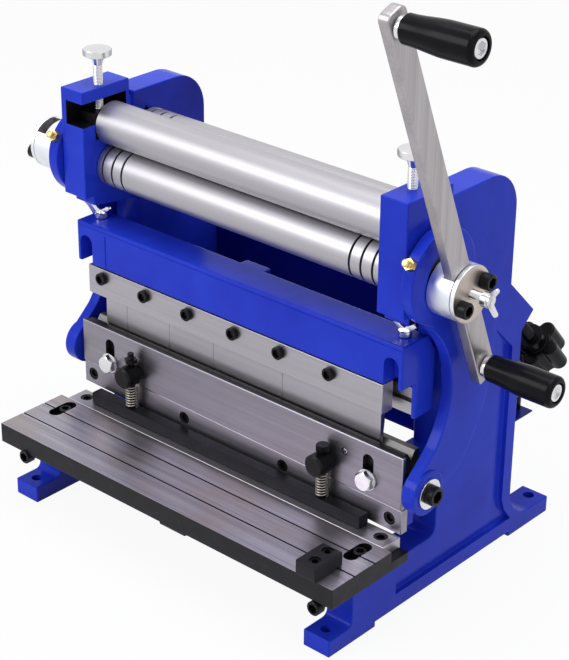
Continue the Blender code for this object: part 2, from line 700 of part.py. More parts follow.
def block(low, high):
    """Return a box between two corners."""
    outline = [(low[1], low[2]), (high[1], low[2]), (high[1], high[2]), (low[1], high[2])]
    return prism(outline, "X", low[0], high[0])


def rod(axis, centre, radius, low, high, sides=ROUND_SIDES):
    """Return a round bar along an axis."""
    return prism(circle(centre[0], centre[1], radius, sides), axis, low, high)


def turned(axis, centre, profile, sides=ROUND_SIDES):
    """Turn a profile of (place along the axis, radius); it runs end to end."""
    bm = bmesh.new()
    rings = []
    for along, radius in profile:
        ring = [bm.verts.new(axis_point(axis, along, a, b))
                for a, b in circle(centre[0], centre[1], radius, sides)]
        rings.append(ring)
    for one, two in zip(rings, rings[1:]):
        for index in range(sides):
            after = (index + 1) % sides
            bm.faces.new((one[index], one[after], two[after], two[index]))
    bm.faces.new(rings[0])
    bm.faces.new(rings[-1])
    return finish_mesh("turned", bm)


def hex_bar(axis, centre, across, low, high):
    """Return a hexagonal bar; across is the size over its flats."""
    corner = across / math.sqrt(3)
    return prism(circle(centre[0], centre[1], corner, 6), axis, low, high)


def bevelled(obj, width):
    """Ease the outer edges of a piece."""
    step = obj.modifiers.new("edges", "BEVEL")
    step.width = width
    step.segments = 1
    step.limit_method = "ANGLE"
    step.angle_limit = math.radians(50)
    return obj


def rear_frame():
    """Return the matrix that carries local +Z down the rear adjuster's axis."""
    turn = Matrix.Rotation(math.pi / 2 + REAR_TILT, 4, "X").to_3x3().inverted()
    matrix = turn.to_4x4()
    matrix.translation = (0.0, REAR_Y, REAR_Z)
    return matrix


def along_adjuster(mesh):
    """Move a mesh drawn along local Z onto the rear adjuster's axis."""
    mesh.transform(rear_frame())
    return mesh


def wing_outline(reach):
    """Return the butterfly outline of a wing head above a neck that starts at reach."""
    half = WING_COLLAR
    return [(-half, reach), (half, reach), (half, reach + WING_THICK),
            (WING_SPAN, reach + WING_RISE - WING_THICK / 2),
            (WING_SPAN, reach + WING_RISE),
            (WING_SPAN - WING_THICK, reach + WING_RISE),
            (half / 2, reach + WING_WAIST),
            (-half / 2, reach + WING_WAIST),
            (WING_THICK - WING_SPAN, reach + WING_RISE),
            (-WING_SPAN, reach + WING_RISE),
            (-WING_SPAN, reach + WING_RISE - WING_THICK / 2),
            (-half, reach + WING_THICK)]


# Side frames

def plate_outline():
    """Return the side view (y, z) of a frame's plate with its feet."""
    top_y = TOP_REAR_Y - TOP_RADIUS
    top_z = PLATE_TOP - TOP_RADIUS
    fillet_y = SUPPORT_FRONT - FRONT_FILLET
    fillet_z = PAD_HEIGHT + FRONT_FILLET
    flare_y = PLATE_REAR + REAR_FLARE
    flare_z = PAD_HEIGHT + REAR_FLARE
    throat_y = UPRIGHT_FRONT - THROAT_FILLET
    throat_z = SUPPORT_TOP + THROAT_FILLET
    pad_front = FOOT_FRONT + PAD_LENGTH
    pad_rear = FOOT_REAR - PAD_LENGTH
    points = [(FOOT_FRONT, 0.0), (FOOT_FRONT, PAD_HEIGHT)]
    points += arc(fillet_y, fillet_z, FRONT_FILLET, 270, 360, FILLET_STEPS)
    points += [(SUPPORT_FRONT, SUPPORT_TOP)]
    points += arc(throat_y, throat_z, THROAT_FILLET, 270, 360, FILLET_STEPS)
    points += [(UPRIGHT_FRONT, PLATE_TOP)]
    points += arc(top_y, top_z, TOP_RADIUS, 90, 0, WIDE_STEPS)
    points += [(TOP_REAR_Y, NOSE_TOP_Z),
               (PLATE_REAR + NOSE_RUN_Y, NOSE_LOW_Z + NOSE_RUN_Z),
               (PLATE_REAR, NOSE_LOW_Z)]
    points += arc(flare_y, flare_z, REAR_FLARE, 180, 270, WIDE_STEPS)
    points += [(FOOT_REAR, PAD_HEIGHT), (FOOT_REAR, 0.0)]
    points += [(pad_rear, 0.0), (pad_rear, ARCH_HEIGHT)]
    points += [(pad_front, ARCH_HEIGHT), (pad_front, 0.0)]
    return points


def recess_outline():
    """Return the bent band (y, z) that is sunk into a frame's outer face."""
    high = RECESS_LOW + RECESS_BAND
    return [(RECESS_FRONT, RECESS_LOW), (RECESS_CORNER, RECESS_LOW),
            (RECESS_OUTER + RECESS_DEPTH, high), (RECESS_OUTER, high + RECESS_BAND),
            (RECESS_OUTER, RECESS_SHOULDER_Z), (RECESS_TIP_Y, RECESS_TIP_Z),
            (RECESS_INNER, RECESS_TIP_Z - RECESS_BAND), (RECESS_INNER, high),
            (RECESS_FRONT, high)]


def mirrored(side, low, high):
    """Return an X interval on one side of the machine, lowest value first."""
    return (low, high) if side > 0 else (-high, -low)


def prism_side(outline, side, low, high):
    """Extrude a (y, z) outline between two distances from the middle."""
    first, last = mirrored(side, low, high)
    return prism(outline, "X", first, last)


def block_side(side, low, high):
    """Return a box on one side; the x of both corners is a distance from the middle."""
    first, last = mirrored(side, low[0], high[0])
    return block((first, low[1], low[2]), (last, high[1], high[2]))


def rod_side(side, centre, radius, low, high, sides=ROUND_SIDES):
    """Return a round bar along X on one side of the machine."""
    first, last = mirrored(side, low, high)
    return rod("X", centre, radius, first, last, sides)


def head_outline():
    """Return the head block's side view (y, z), reaching a little into the plate."""
    back = HEAD_BACK + CUT_OVER
    return [(HEAD_FRONT, HEAD_BOTTOM), (back, HEAD_BOTTOM), (back, PLATE_TOP - CUT_OVER),
            (HEAD_BACK, PLATE_TOP - CUT_OVER), (HEAD_BACK, HEAD_TOP),
            (HEAD_FRONT, HEAD_TOP)]


def corbel_outline():
    """Return the tapering step under the head block."""
    back = UPRIGHT_FRONT + CUT_OVER
    high = HEAD_BOTTOM + CUT_OVER
    return [(CORBEL_FRONT, high), (CORBEL_FRONT, HEAD_BOTTOM - CORBEL_DROP),
            (back, HEAD_BOTTOM - CORBEL_REAR_DROP), (back, high)]


def lug_outline():
    """Return the round-topped lug (x, z) that the beam hangs on, for the right side."""
    half = (NOTCH_OUTER - NOTCH_INNER) / 2 - GAP
    centre = (NOTCH_OUTER + NOTCH_INNER) / 2
    crown = NOTCH_CROWN - GAP - half
    return ([(centre - half, LUG_LOW), (centre + half, LUG_LOW)]
            + arc(centre, crown, half, 0, 180, ARC_STEPS))


def flipped(outline, side):
    """Return an (x, z) or (x, y) outline on the chosen side."""
    return [(side * a, b) for a, b in outline]


def frame_cuts(side):
    """Return the hollows of a side frame."""
    inner = min(PLATE_INNER, HEAD_INNER) - CUT_OVER
    slot_end = HEAD_INNER + BLOCK_LENGTH[side] + 2 * GAP
    slot_half = BLOCK_HALF + GAP
    slot_low = BLOCK_BOTTOM - GAP
    outer = HEAD_OUTER + CUT_OVER
    cuts = [prism_side(recess_outline(), side, PLATE_OUTER - RECESS_DEPTH, outer)]
    cuts.append(block_side(side, (inner, SHAFT_Y - slot_half, slot_low),
                           (slot_end, SHAFT_Y + slot_half, SLOT_TOP)))
    for place in (FOOT_HOLE_FRONT, FOOT_HOLE_REAR):
        middle = side * (PLATE_INNER + PLATE_OUTER) / 2
        cuts.append(rod("Z", (middle, place), FOOT_HOLE, -CUT_OVER,
                        PAD_HEIGHT + CUT_OVER, SMALL_SIDES))
    cuts.append(rod("Z", (side * THUMB_X, THUMB_Y), THUMB_SHANK + GAP,
                    SLOT_TOP - CUT_OVER, HEAD_TOP + CUT_OVER, SMALL_SIDES))
    if side < 0:
        window_low = UPPER_Z + WINDOW_SILL
        window_back = SHAFT_Y - slot_half + CUT_OVER
        cuts.append(block_side(side, (inner, HEAD_FRONT - CUT_OVER, window_low),
                               (slot_end, window_back, SLOT_TOP)))
        cuts.append(rod_side(side, (SHAFT_Y, SHAFT_Z), BUSH_OUTER + GAP, inner, outer))
    else:
        pocket_low = HEAD_BOTTOM - CORBEL_REAR_DROP - CUT_OVER
        pocket_top = UPPER_Z + GEAR_TIP + ROLL_LIFT + GEAR_ROOM
        cuts.append(block_side(side, (slot_end, SHAFT_Y - POCKET_HALF, pocket_low),
                               (GEAR_OUTER + 2 * GAP, SHAFT_Y + POCKET_HALF, pocket_top)))
        cuts.append(rod_side(side, (SHAFT_Y, SHAFT_Z), BUSH_OUTER + GAP, inner,
                             slot_end + CUT_OVER / 2))
        cuts.append(rod_side(side, (SHAFT_Y, SHAFT_Z), MAIN_JOURNAL + SHAFT_ROOM,
                             GEAR_OUTER, outer))
    cuts.append(rear_slot_cut(side, inner))
    cuts.append(rear_bore_cut(side))
    cuts.append(rod("Z", (side * TABLE_SLOT_X, TABLE_SCREW_Y), TABLE_BORE_RADIUS,
                    SUPPORT_TOP - TABLE_THICK, SUPPORT_TOP + CUT_OVER, SMALL_SIDES))
    return cuts


def rear_slot_cut(side, inner):
    """Return the sloping slot that a rear bearing slides in."""
    half = REAR_BLOCK_HALF + GAP
    high = REAR_BLOCK_HALF + REAR_TRAVEL_IN + GAP
    low = REAR_BLOCK_HALF + REAR_TRAVEL_OUT + GAP
    end = PLATE_INNER + REAR_BLOCK_LENGTH + 2 * GAP
    first, last = mirrored(side, inner, end)
    return along_adjuster(block((first, -half, -high), (last, half, low)))


def rear_bore_cut(side):
    """Return the bore that a rear adjusting screw runs through."""
    start = REAR_BLOCK_HALF + REAR_TRAVEL_OUT
    reach = NOSE_REACH + CUT_OVER
    return along_adjuster(rod("Z", (side * REAR_SCREW_X, 0.0), REAR_SCREW + GAP,
                              start, reach, SMALL_SIDES))


def build_frames():
    """Make both cast side frames."""
    for side, word in SIDE_NAMES.items():
        plate = prism_side(plate_outline(), side, PLATE_INNER, PLATE_OUTER)
        joins = [prism_side(head_outline(), side, HEAD_INNER, HEAD_OUTER),
                 prism_side(corbel_outline(), side, HEAD_INNER, PLATE_OUTER - GAP),
                 prism(flipped(lug_outline(), side), "Y", LUG_FRONT,
                       UPRIGHT_FRONT + CUT_OVER)]
        add_piece(f"{word}_frame", plate, BLUE_PAINT, joins=joins, cuts=frame_cuts(side))


# Rolls, bearings and gears

def groove(centre):
    """Return the profile points of one wire groove in a roll."""
    return [(centre - GROOVE_HALF, ROLL_RADIUS), (centre, ROLL_RADIUS - GROOVE_DEPTH),
            (centre + GROOVE_HALF, ROLL_RADIUS)]


def roll_body(half):
    """Return the profile of a grooved roll between its end faces."""
    points = [(-half, ROLL_RADIUS - ROLL_EDGE), (ROLL_EDGE - half, ROLL_RADIUS)]
    for index in range(GROOVES):
        points += groove(-half + GROOVE_FIRST_LEFT + index * GROOVE_PITCH)
    for index in reversed(range(GROOVES)):
        points += groove(half - GROOVE_FIRST_RIGHT - index * GROOVE_PITCH)
    points += [(half - ROLL_EDGE, ROLL_RADIUS), (half, ROLL_RADIUS - ROLL_EDGE)]
    return points


def crank_slot(side):
    """Return the X interval, from the middle, of a hub's cross slot."""
    end = HUB_INNER + HUB_LENGTH[side]
    return end - CRANK_THICK - GAP, end


def build_rolls():
    """Make the three rolls; the lower one is also the main shaft."""
    right = crank_slot(1)[0] - GAP
    left = crank_slot(-1)[0] - GAP
    main = ([(-left, MAIN_JOURNAL), (-ROLL_HALF, MAIN_JOURNAL)] + roll_body(ROLL_HALF)
            + [(ROLL_HALF, MAIN_JOURNAL), (right, MAIN_JOURNAL)])
    add_piece("main_roll", turned("X", (SHAFT_Y, SHAFT_Z), main, FINE_SIDES),
              GROUND_STEEL, origin=(0.0, SHAFT_Y, SHAFT_Z))
    left_end = HEAD_INNER + BLOCK_LENGTH_LEFT - GAP
    right_end = GEAR_OUTER
    upper = [(-left_end, UPPER_JOURNAL), (-ROLL_HALF, UPPER_JOURNAL),
             (-ROLL_HALF, ROLL_RADIUS - ROLL_EDGE), (ROLL_EDGE - ROLL_HALF, ROLL_RADIUS),
             (ROLL_HALF - ROLL_EDGE, ROLL_RADIUS), (ROLL_HALF, ROLL_RADIUS - ROLL_EDGE),
             (ROLL_HALF, UPPER_JOURNAL), (right_end, UPPER_JOURNAL)]
    add_piece("upper_roll", turned("X", (SHAFT_Y, UPPER_Z), upper, FINE_SIDES),
              GROUND_STEEL, origin=(0.0, SHAFT_Y, UPPER_Z))
    end = PLATE_INNER + REAR_BLOCK_LENGTH - GAP
    rear = ([(-end, REAR_JOURNAL), (-REAR_ROLL_HALF, REAR_JOURNAL)]
            + roll_body(REAR_ROLL_HALF)
            + [(REAR_ROLL_HALF, REAR_JOURNAL), (end, REAR_JOURNAL)])
    add_piece("rear_roll", turned("X", (REAR_Y, REAR_Z), rear, FINE_SIDES),
              GROUND_STEEL, origin=(0.0, REAR_Y, REAR_Z))


def build_bearings():
    """Make the bushes of the main shaft and the sliding blocks of the other rolls."""
    for side, word in SIDE_NAMES.items():
        bush_end = HEAD_OUTER - GAP if side < 0 else HEAD_INNER + BLOCK_LENGTH[side]
        bush = rod_side(side, (SHAFT_Y, SHAFT_Z), BUSH_OUTER, HEAD_INNER + GAP, bush_end)
        bore = rod_side(side, (SHAFT_Y, SHAFT_Z), MAIN_JOURNAL + GAP, ROLL_HALF - CUT_OVER,
                        HEAD_OUTER + CUT_OVER)
        add_piece(f"{word}_main_bush", bush, BRONZE, origin=(0.0, SHAFT_Y, SHAFT_Z),
                  cuts=[bore])
        low = HEAD_INNER + GAP
        high = HEAD_INNER + BLOCK_LENGTH[side] + GAP
        shoe = block_side(side, (low, SHAFT_Y - BLOCK_HALF, BLOCK_BOTTOM),
                          (high, SHAFT_Y + BLOCK_HALF, BLOCK_TOP))
        bore = rod_side(side, (SHAFT_Y, UPPER_Z), UPPER_JOURNAL + GAP, low - CUT_OVER,
                        high + CUT_OVER)
        add_piece(f"{word}_upper_bearing", shoe, DARK_IRON, origin=(0.0, SHAFT_Y, UPPER_Z),
                  cuts=[bore])
        first, last = mirrored(side, PLATE_INNER + GAP, PLATE_INNER + REAR_BLOCK_LENGTH + GAP)
        half = REAR_BLOCK_HALF
        shoe = along_adjuster(block((first, -half, -half), (last, half, half)))
        bore = rod("X", (REAR_Y, REAR_Z), REAR_JOURNAL + GAP, first - CUT_OVER,
                   last + CUT_OVER)
        add_piece(f"{word}_rear_bearing", shoe, DARK_IRON, origin=(0.0, REAR_Y, REAR_Z),
                  cuts=[bore])


def involute(angle):
    """Return the involute function of a pressure angle."""
    return math.tan(angle) - angle


def gear_outline(centre_z, phase):
    """Return a spur gear's outline (y, z) with one tooth centred at the phase angle."""
    base = GEAR_PITCH * math.cos(GEAR_PRESSURE)
    tooth_at_pitch = math.pi * GEAR_MODULE / 2 - GAP
    half_pitch = tooth_at_pitch / (2 * GEAR_PITCH)
    radii = [GEAR_ROOT, base, GEAR_PITCH, GEAR_TIP]
    halves = []
    for radius in radii:
        local = math.acos(min(1.0, base / max(radius, base)))
        halves.append(half_pitch + involute(GEAR_PRESSURE) - involute(local))
    points = []
    for tooth in range(GEAR_TEETH):
        middle = phase + 2 * math.pi * tooth / GEAR_TEETH
        flank = list(zip(radii, halves))
        for radius, half in flank:
            points.append((radius, middle - half))
        for radius, half in reversed(flank):
            points.append((radius, middle + half))
    return [(SHAFT_Y + radius * math.cos(angle), centre_z + radius * math.sin(angle))
            for radius, angle in points]


def build_gears():
    """Make the gear pair in mesh: a lower tooth points up, an upper gap points down."""
    down = -math.pi / 2 + math.pi / GEAR_TEETH
    wheels = (("lower_gear", SHAFT_Z, math.pi / 2, MAIN_JOURNAL),
              ("upper_gear", UPPER_Z, down, UPPER_JOURNAL))
    for name, height, phase, journal in wheels:
        wheel = prism(gear_outline(height, phase), "X", GEAR_INNER, GEAR_OUTER)
        bore = rod("X", (SHAFT_Y, height), journal + GAP, GEAR_INNER - CUT_OVER,
                   GEAR_OUTER + CUT_OVER)
        add_piece(name, wheel, DARK_IRON, origin=(0.0, SHAFT_Y, height), cuts=[bore])


# Adjusters of the upper and rear rolls

def build_thumb_screws():
    """Make the screws that press the upper roll's bearings down."""
    neck = THUMB_KNOB_Z - THUMB_NECK_LENGTH
    knob_top = THUMB_KNOB_Z + THUMB_KNOB_HEIGHT
    edge = THUMB_KNOB_EDGE
    profile = [(BLOCK_TOP + GAP, THUMB_SHANK), (neck, THUMB_SHANK),
               (neck + edge, THUMB_NECK), (THUMB_KNOB_Z, THUMB_NECK),
               (THUMB_KNOB_Z, THUMB_KNOB_RADIUS - edge),
               (THUMB_KNOB_Z + edge, THUMB_KNOB_RADIUS),
               (knob_top - edge, THUMB_KNOB_RADIUS), (knob_top, THUMB_KNOB_RADIUS - edge)]
    for side, word in SIDE_NAMES.items():
        place = (side * THUMB_X, THUMB_Y)
        add_piece(f"{word}_thumb_screw", turned("Z", place, profile, ROUND_SIDES),
                  BRIGHT_CHROME, origin=(side * THUMB_X, THUMB_Y, HEAD_TOP))


def star_outline(centre):
    """Return the outline of the star knob: round lobes with hollows between them."""
    points = []
    step = 2 * math.pi / KNOB_LOBES
    for lobe in range(KNOB_LOBES):
        middle = lobe * step
        for index in range(LOBE_STEPS + 1):
            turn = middle + math.radians(-100 + 200 * index / LOBE_STEPS)
            points.append((centre + KNOB_LOBE_CENTRE * math.cos(middle)
                           + KNOB_LOBE_RADIUS * math.cos(turn),
                           KNOB_LOBE_CENTRE * math.sin(middle)
                           + KNOB_LOBE_RADIUS * math.sin(turn)))
    return points


def build_rear_adjusters():
    """Make the star-knob screws of the rear roll; each is one screw with its knob."""
    start = REAR_BLOCK_HALF + GAP
    neck_end = KNOB_START + KNOB_NECK_LENGTH
    for side, word in SIDE_NAMES.items():
        centre = side * REAR_SCREW_X
        shank = [(start, REAR_SCREW), (KNOB_START, REAR_SCREW), (KNOB_START, KNOB_NECK),
                 (neck_end + CUT_OVER, KNOB_NECK)]
        screw = along_adjuster(turned("Z", (centre, 0.0), shank, SMALL_SIDES))
        star = along_adjuster(prism(star_outline(centre), "Z", neck_end, KNOB_END))
        add_piece(f"{word}_rear_adjuster", screw, BLACK_PLASTIC,
                  origin=(centre, REAR_Y, REAR_Z), joins=[star])


# Table and lower blade

def build_table():
    """Make the table, the lower blade on its ledge and the side guide."""
    ledge_front = BLADE_FRONT - GAP
    outline = [(TABLE_FRONT, TABLE_BOTTOM), (TABLE_FRONT, TABLE_TOP)]
    for centre in (TABLE_GROOVE_ONE, TABLE_GROOVE_TWO):
        outline += [(centre - TABLE_GROOVE_HALF, TABLE_TOP),
                    (centre - TABLE_GROOVE_HALF, TABLE_TOP - TABLE_GROOVE_DEPTH),
                    (centre + TABLE_GROOVE_HALF, TABLE_TOP - TABLE_GROOVE_DEPTH),
                    (centre + TABLE_GROOVE_HALF, TABLE_TOP)]
    outline += [(ledge_front, TABLE_TOP), (ledge_front, LEDGE_TOP),
                (SHEAR_LINE - GAP, LEDGE_TOP), (SHEAR_LINE - GAP, TABLE_BOTTOM)]
    lug_half = TABLE_LUG_WIDTH / 2
    lug = block((TABLE_LUG_X - lug_half, TABLE_FRONT + GAP, TABLE_BOTTOM - TABLE_LUG_DROP),
                (TABLE_LUG_X + lug_half, TABLE_FRONT + TABLE_LUG_DEPTH,
                 TABLE_BOTTOM + TABLE_LUG_DROP))
    cuts = []
    for side in SIDE_NAMES:
        low = TABLE_SLOT_FRONT + TABLE_SLOT_RADIUS
        high = TABLE_SLOT_REAR - TABLE_SLOT_RADIUS
        well = slot_outline(side * TABLE_SLOT_X, low, high, TABLE_SLOT_RADIUS,
                            ARC_STEPS)
        cuts.append(prism(well, "Z", TABLE_TOP - TABLE_SLOT_DEPTH, TABLE_TOP + CUT_OVER))
        way = slot_outline(side * TABLE_SLOT_X, low, high, TABLE_BORE_RADIUS,
                           ARC_STEPS)
        cuts.append(prism(way, "Z", TABLE_BOTTOM - CUT_OVER,
                          TABLE_TOP - TABLE_SLOT_DEPTH + CUT_OVER / 2))
    add_piece("work_table", prism(outline, "X", -TABLE_HALF, TABLE_HALF), TABLE_IRON,
              joins=[lug], cuts=cuts)
    blade = block((-BLADE_HALF, BLADE_FRONT, LEDGE_TOP + GAP),
                  (BLADE_HALF, SHEAR_LINE, TABLE_TOP))
    add_piece("lower_blade", blade, GROUND_STEEL)
    half = GUIDE_WIDTH / 2
    guide = block((GUIDE_X - half, GUIDE_FRONT, TABLE_TOP + GAP),
                  (GUIDE_X + half, GUIDE_FRONT + GUIDE_LENGTH, TABLE_TOP + GUIDE_HEIGHT))
    bevelled(add_piece("side_guide_block", guide, DARK_IRON), GUIDE_CHAMFER)


# Ram with its blade, apron and arms

def blade_edge(left, right, x_place):
    """Return the height at x of a raked line given at both ends of the blade."""
    share = (x_place + BLADE_HALF) / (2 * BLADE_HALF)
    return left + (right - left) * share


def build_ram():
    """Make the ram, the raked upper blade and the slotted apron."""
    vee_low = VEE_Y - VEE_HALF
    vee_high = VEE_Y + VEE_HALF
    outline = [(RAM_FRONT, RAM_WAIST), (RAM_FRONT, RAM_TOP), (vee_low, RAM_TOP),
               (VEE_Y, RAM_TOP - VEE_DEPTH), (vee_high, RAM_TOP), (RAM_REAR, RAM_TOP),
               (RAM_REAR, RAM_WAIST)]
    seat_front = BLADE_BACK + GAP
    seat_outline = [(-RAM_HALF, blade_edge(BLADE_LOW_LEFT, BLADE_LOW_RIGHT, -RAM_HALF)
                     + BLADE_SEAT_DROP),
                    (RAM_HALF, blade_edge(BLADE_LOW_LEFT, BLADE_LOW_RIGHT, RAM_HALF)
                     + BLADE_SEAT_DROP),
                    (RAM_HALF, RAM_WAIST + CUT_OVER), (-RAM_HALF, RAM_WAIST + CUT_OVER)]
    seat = prism(seat_outline, "Y", seat_front, RAM_HOLLOW_FRONT)
    seam_room = prism([(-BLADE_HALF, RAM_WAIST - CUT_OVER),
                       (BLADE_HALF, RAM_WAIST - CUT_OVER),
                       (BLADE_HALF, SEAM_RIGHT + GAP), (-BLADE_HALF, SEAM_LEFT + GAP)],
                      "Y", RAM_FRONT - CUT_OVER, seat_front)
    over_cheeks = block((-RAM_HALF - CUT_OVER, VEE_LAND_REAR, RAM_TOP - RAM_CHEEK_DROP),
                        (RAM_HALF + CUT_OVER, RAM_REAR + CUT_OVER, RAM_TOP + CUT_OVER))
    between_cheeks = block((-PLATE_INNER, VEE_LAND_REAR, RAM_WAIST - CUT_OVER),
                           (PLATE_INNER, RAM_REAR + CUT_OVER, RAM_TOP))
    joins = [seat]
    cuts = [seam_room, over_cheeks, between_cheeks]
    for side in SIDE_NAMES:
        joins.append(rod_side(side, (PIN_Y, PIN_Z), RAM_BOSS, RAM_HALF - CUT_OVER,
                              ARM_INNER - GAP))
        cuts.append(rod_side(side, (PIN_Y, PIN_Z), PIN_SHANK + GAP,
                             ARM_INNER - PIN_DEPTH - GAP, ARM_INNER + CUT_OVER,
                             SMALL_SIDES))
        cuts.append(rod("Y", (side * APRON_SLOT_X, APRON_BOLT_Z), APRON_BOLT_SHANK + GAP,
                        RAM_FRONT - CUT_OVER, RAM_FRONT + 2 * BLADE_THICK, SMALL_SIDES))
    add_piece("ram_body", prism(outline, "X", -RAM_HALF, RAM_HALF), BLUE_PAINT,
              joins=joins, cuts=cuts)
    blade = prism([(-BLADE_HALF, BLADE_LOW_LEFT), (BLADE_HALF, BLADE_LOW_RIGHT),
                   (BLADE_HALF, SEAM_RIGHT), (-BLADE_HALF, SEAM_LEFT)],
                  "Y", BLADE_FACE, BLADE_BACK)
    add_piece("upper_blade", blade, GROUND_STEEL)
    slots = []
    for side in SIDE_NAMES:
        way = slot_outline(side * APRON_SLOT_X, APRON_SLOT_LOW, APRON_SLOT_HIGH,
                           APRON_SLOT_RADIUS, ARC_STEPS)
        slots.append(prism(way, "Y", APRON_FRONT - CUT_OVER, APRON_BACK + CUT_OVER))
    apron = prism([(-BLADE_HALF, SEAM_LEFT + GAP), (BLADE_HALF, SEAM_RIGHT + GAP),
                   (BLADE_HALF, APRON_TOP), (-BLADE_HALF, APRON_TOP)],
                  "Y", APRON_FRONT, APRON_BACK)
    add_piece("apron_plate", apron, GROUND_STEEL, cuts=slots)
    for side, word in SIDE_NAMES.items():
        build_apron_bolt(side, word)


def build_apron_bolt(side, word):
    """Make one hex bolt with its washer, which clamps the apron through its slot."""
    place = (side * APRON_SLOT_X, APRON_BOLT_Z)
    washer_back = APRON_FRONT - GAP
    washer_front = washer_back - APRON_BOLT_WASHER_THICK
    head_front = washer_front - APRON_BOLT_HEAD_THICK
    depth = RAM_FRONT + 2 * BLADE_THICK - GAP
    profile = [(washer_front, APRON_BOLT_WASHER), (washer_back, APRON_BOLT_WASHER),
               (washer_back, APRON_BOLT_SHANK), (depth, APRON_BOLT_SHANK)]
    head = hex_bar("Y", place, APRON_BOLT_HEAD, head_front,
                   washer_front + APRON_BOLT_WASHER_THICK / 2)
    add_piece(f"{word}_apron_bolt", turned("Y", place, profile, ROUND_SIDES),
              BRIGHT_CHROME, origin=(place[0], APRON_FRONT, place[1]), joins=[head])


def arm_outline():
    """Return the C-shaped link arm (y, z) from its ring down to its boss."""
    throat = arc_through(ARM_THROAT_TOP, ARM_THROAT, ARM_THROAT_LOW, WIDE_STEPS)
    back = arc_through(ARM_HEEL, ARM_BEND, ARM_BACK_LOW, ARC_STEPS)
    ring_side = (SHAFT_Y + ARM_RING - GAP, RING_Z)
    bulge = ((ARM_BACK_TOP[0] + ring_side[0] + ARM_THICK) / 2,
             (ARM_BACK_TOP[1] + ring_side[1]) / 2)
    crown = arc_through(ARM_BACK_TOP, bulge, ring_side, ARC_STEPS)
    return (throat + [ARM_BOSS_TOP, (PIN_Y, PIN_Z),
                      (PIN_Y + ARM_BOSS / 2, PIN_Z - ARM_BOSS / 2)]
            + back + crown + [(SHAFT_Y, RING_Z)])


def build_arms():
    """Make the link arms, the eccentrics in their rings and their lower pins."""
    for side, word in SIDE_NAMES.items():
        ring = rod_side(side, (SHAFT_Y, RING_Z), ARM_RING, ARM_INNER, ARM_OUTER, FINE_SIDES)
        web = prism_side(arm_outline(), side, ARM_INNER, ARM_OUTER)
        boss = rod_side(side, (PIN_Y, PIN_Z), ARM_BOSS, ARM_INNER,
                        ARM_OUTER + ARM_BOSS_RISE)
        inner = ARM_INNER - CUT_OVER
        outer = ARM_OUTER + CUT_OVER
        bore = rod_side(side, (SHAFT_Y, RING_Z), ECCENTRIC + GAP, inner, outer, FINE_SIDES)
        hole = rod_side(side, (PIN_Y, PIN_Z), PIN_SHANK + GAP, inner, outer, SMALL_SIDES)
        add_piece(f"{word}_link_arm", ring, BLUE_PAINT, origin=(0.0, SHAFT_Y, RING_Z),
                  joins=[web, boss], cuts=[bore, hole])
        disc = rod_side(side, (SHAFT_Y, RING_Z), ECCENTRIC, ARM_INNER, ARM_OUTER,
                        FINE_SIDES)
        room = MAIN_JOURNAL + SHAFT_ROOM
        way = slot_outline(SHAFT_Y, RING_Z - RAM_STROKE / 2, RING_Z + RAM_STROKE / 2,
                           room, ARC_STEPS)
        add_piece(f"{word}_eccentric", disc, DARK_IRON, origin=(0.0, SHAFT_Y, RING_Z),
                  cuts=[prism_side(way, side, inner, outer)])
        build_arm_pin(side, word)


def build_arm_pin(side, word):
    """Make the cap screw with its washer that joins an arm to the ram."""
    seat = ARM_OUTER + ARM_BOSS_RISE + GAP
    washer = seat + PIN_WASHER_THICK
    tip = ARM_INNER - PIN_DEPTH
    profile = [(side * tip, PIN_SHANK), (side * seat, PIN_SHANK), (side * seat, PIN_WASHER),
               (side * washer, PIN_WASHER), (side * washer, PIN_HEAD),
               (side * (washer + PIN_HEAD_HEIGHT), PIN_HEAD)]
    add_piece(f"{word}_arm_pin", turned("X", (PIN_Y, PIN_Z), profile), BLACK_OXIDE,
              origin=(0.0, PIN_Y, PIN_Z))


# Hold-down

def spring_points(centre_x, low, high):
    """Return the centre line of one spring, with a straight end at top and bottom."""
    lead = SPRING_WIRE
    start = low + SPRING_WIRE / 2
    end = high - SPRING_WIRE / 2
    steps = SPRING_CURLS * SPRING_POINTS
    points = []
    for index in range(steps + 1):
        turn = 2 * math.pi * index / SPRING_POINTS
        height = start + (end - start) * index / steps
        points.append(Vector((centre_x + SPRING_RADIUS * math.cos(turn),
                              HOLD_Y + SPRING_RADIUS * math.sin(turn), height)))
    first = points[0] + Vector((0.0, -lead, 0.0))
    last = points[-1] + Vector((0.0, lead, 0.0))
    return [first] + points + [last]


def spring_clearance(points):
    """Return the least gap between neighbouring curls of a spring."""
    least = math.inf
    for index, point in enumerate(points):
        for other in points[index + SPRING_POINTS - 1:]:
            least = min(least, (other - point).length - SPRING_WIRE)
    return least


def add_spring(name, centre_x):
    """Make one wound spring as a single tube."""
    points = spring_points(centre_x, HOLD_BAR_TOP + GAP, BARREL_LOW - GAP)
    print(name, "least gap between curls", round(spring_clearance(points), 5))
    curve = bpy.data.curves.new(name, "CURVE")
    curve.dimensions = "3D"
    curve.bevel_depth = SPRING_WIRE / 2
    curve.bevel_resolution = 1
    curve.use_fill_caps = True
    line = curve.splines.new("POLY")
    line.points.add(len(points) - 1)
    pivot = Vector((centre_x, HOLD_Y, BARREL_LOW))
    for target, point in zip(line.points, points):
        target.co = (*(point - pivot), 1.0)
    curve.materials.append(SPRING_STEEL)
    obj = bpy.data.objects.new(name, curve)
    bpy.context.collection.objects.link(obj)
    obj.parent = MACHINE
    obj.location = pivot


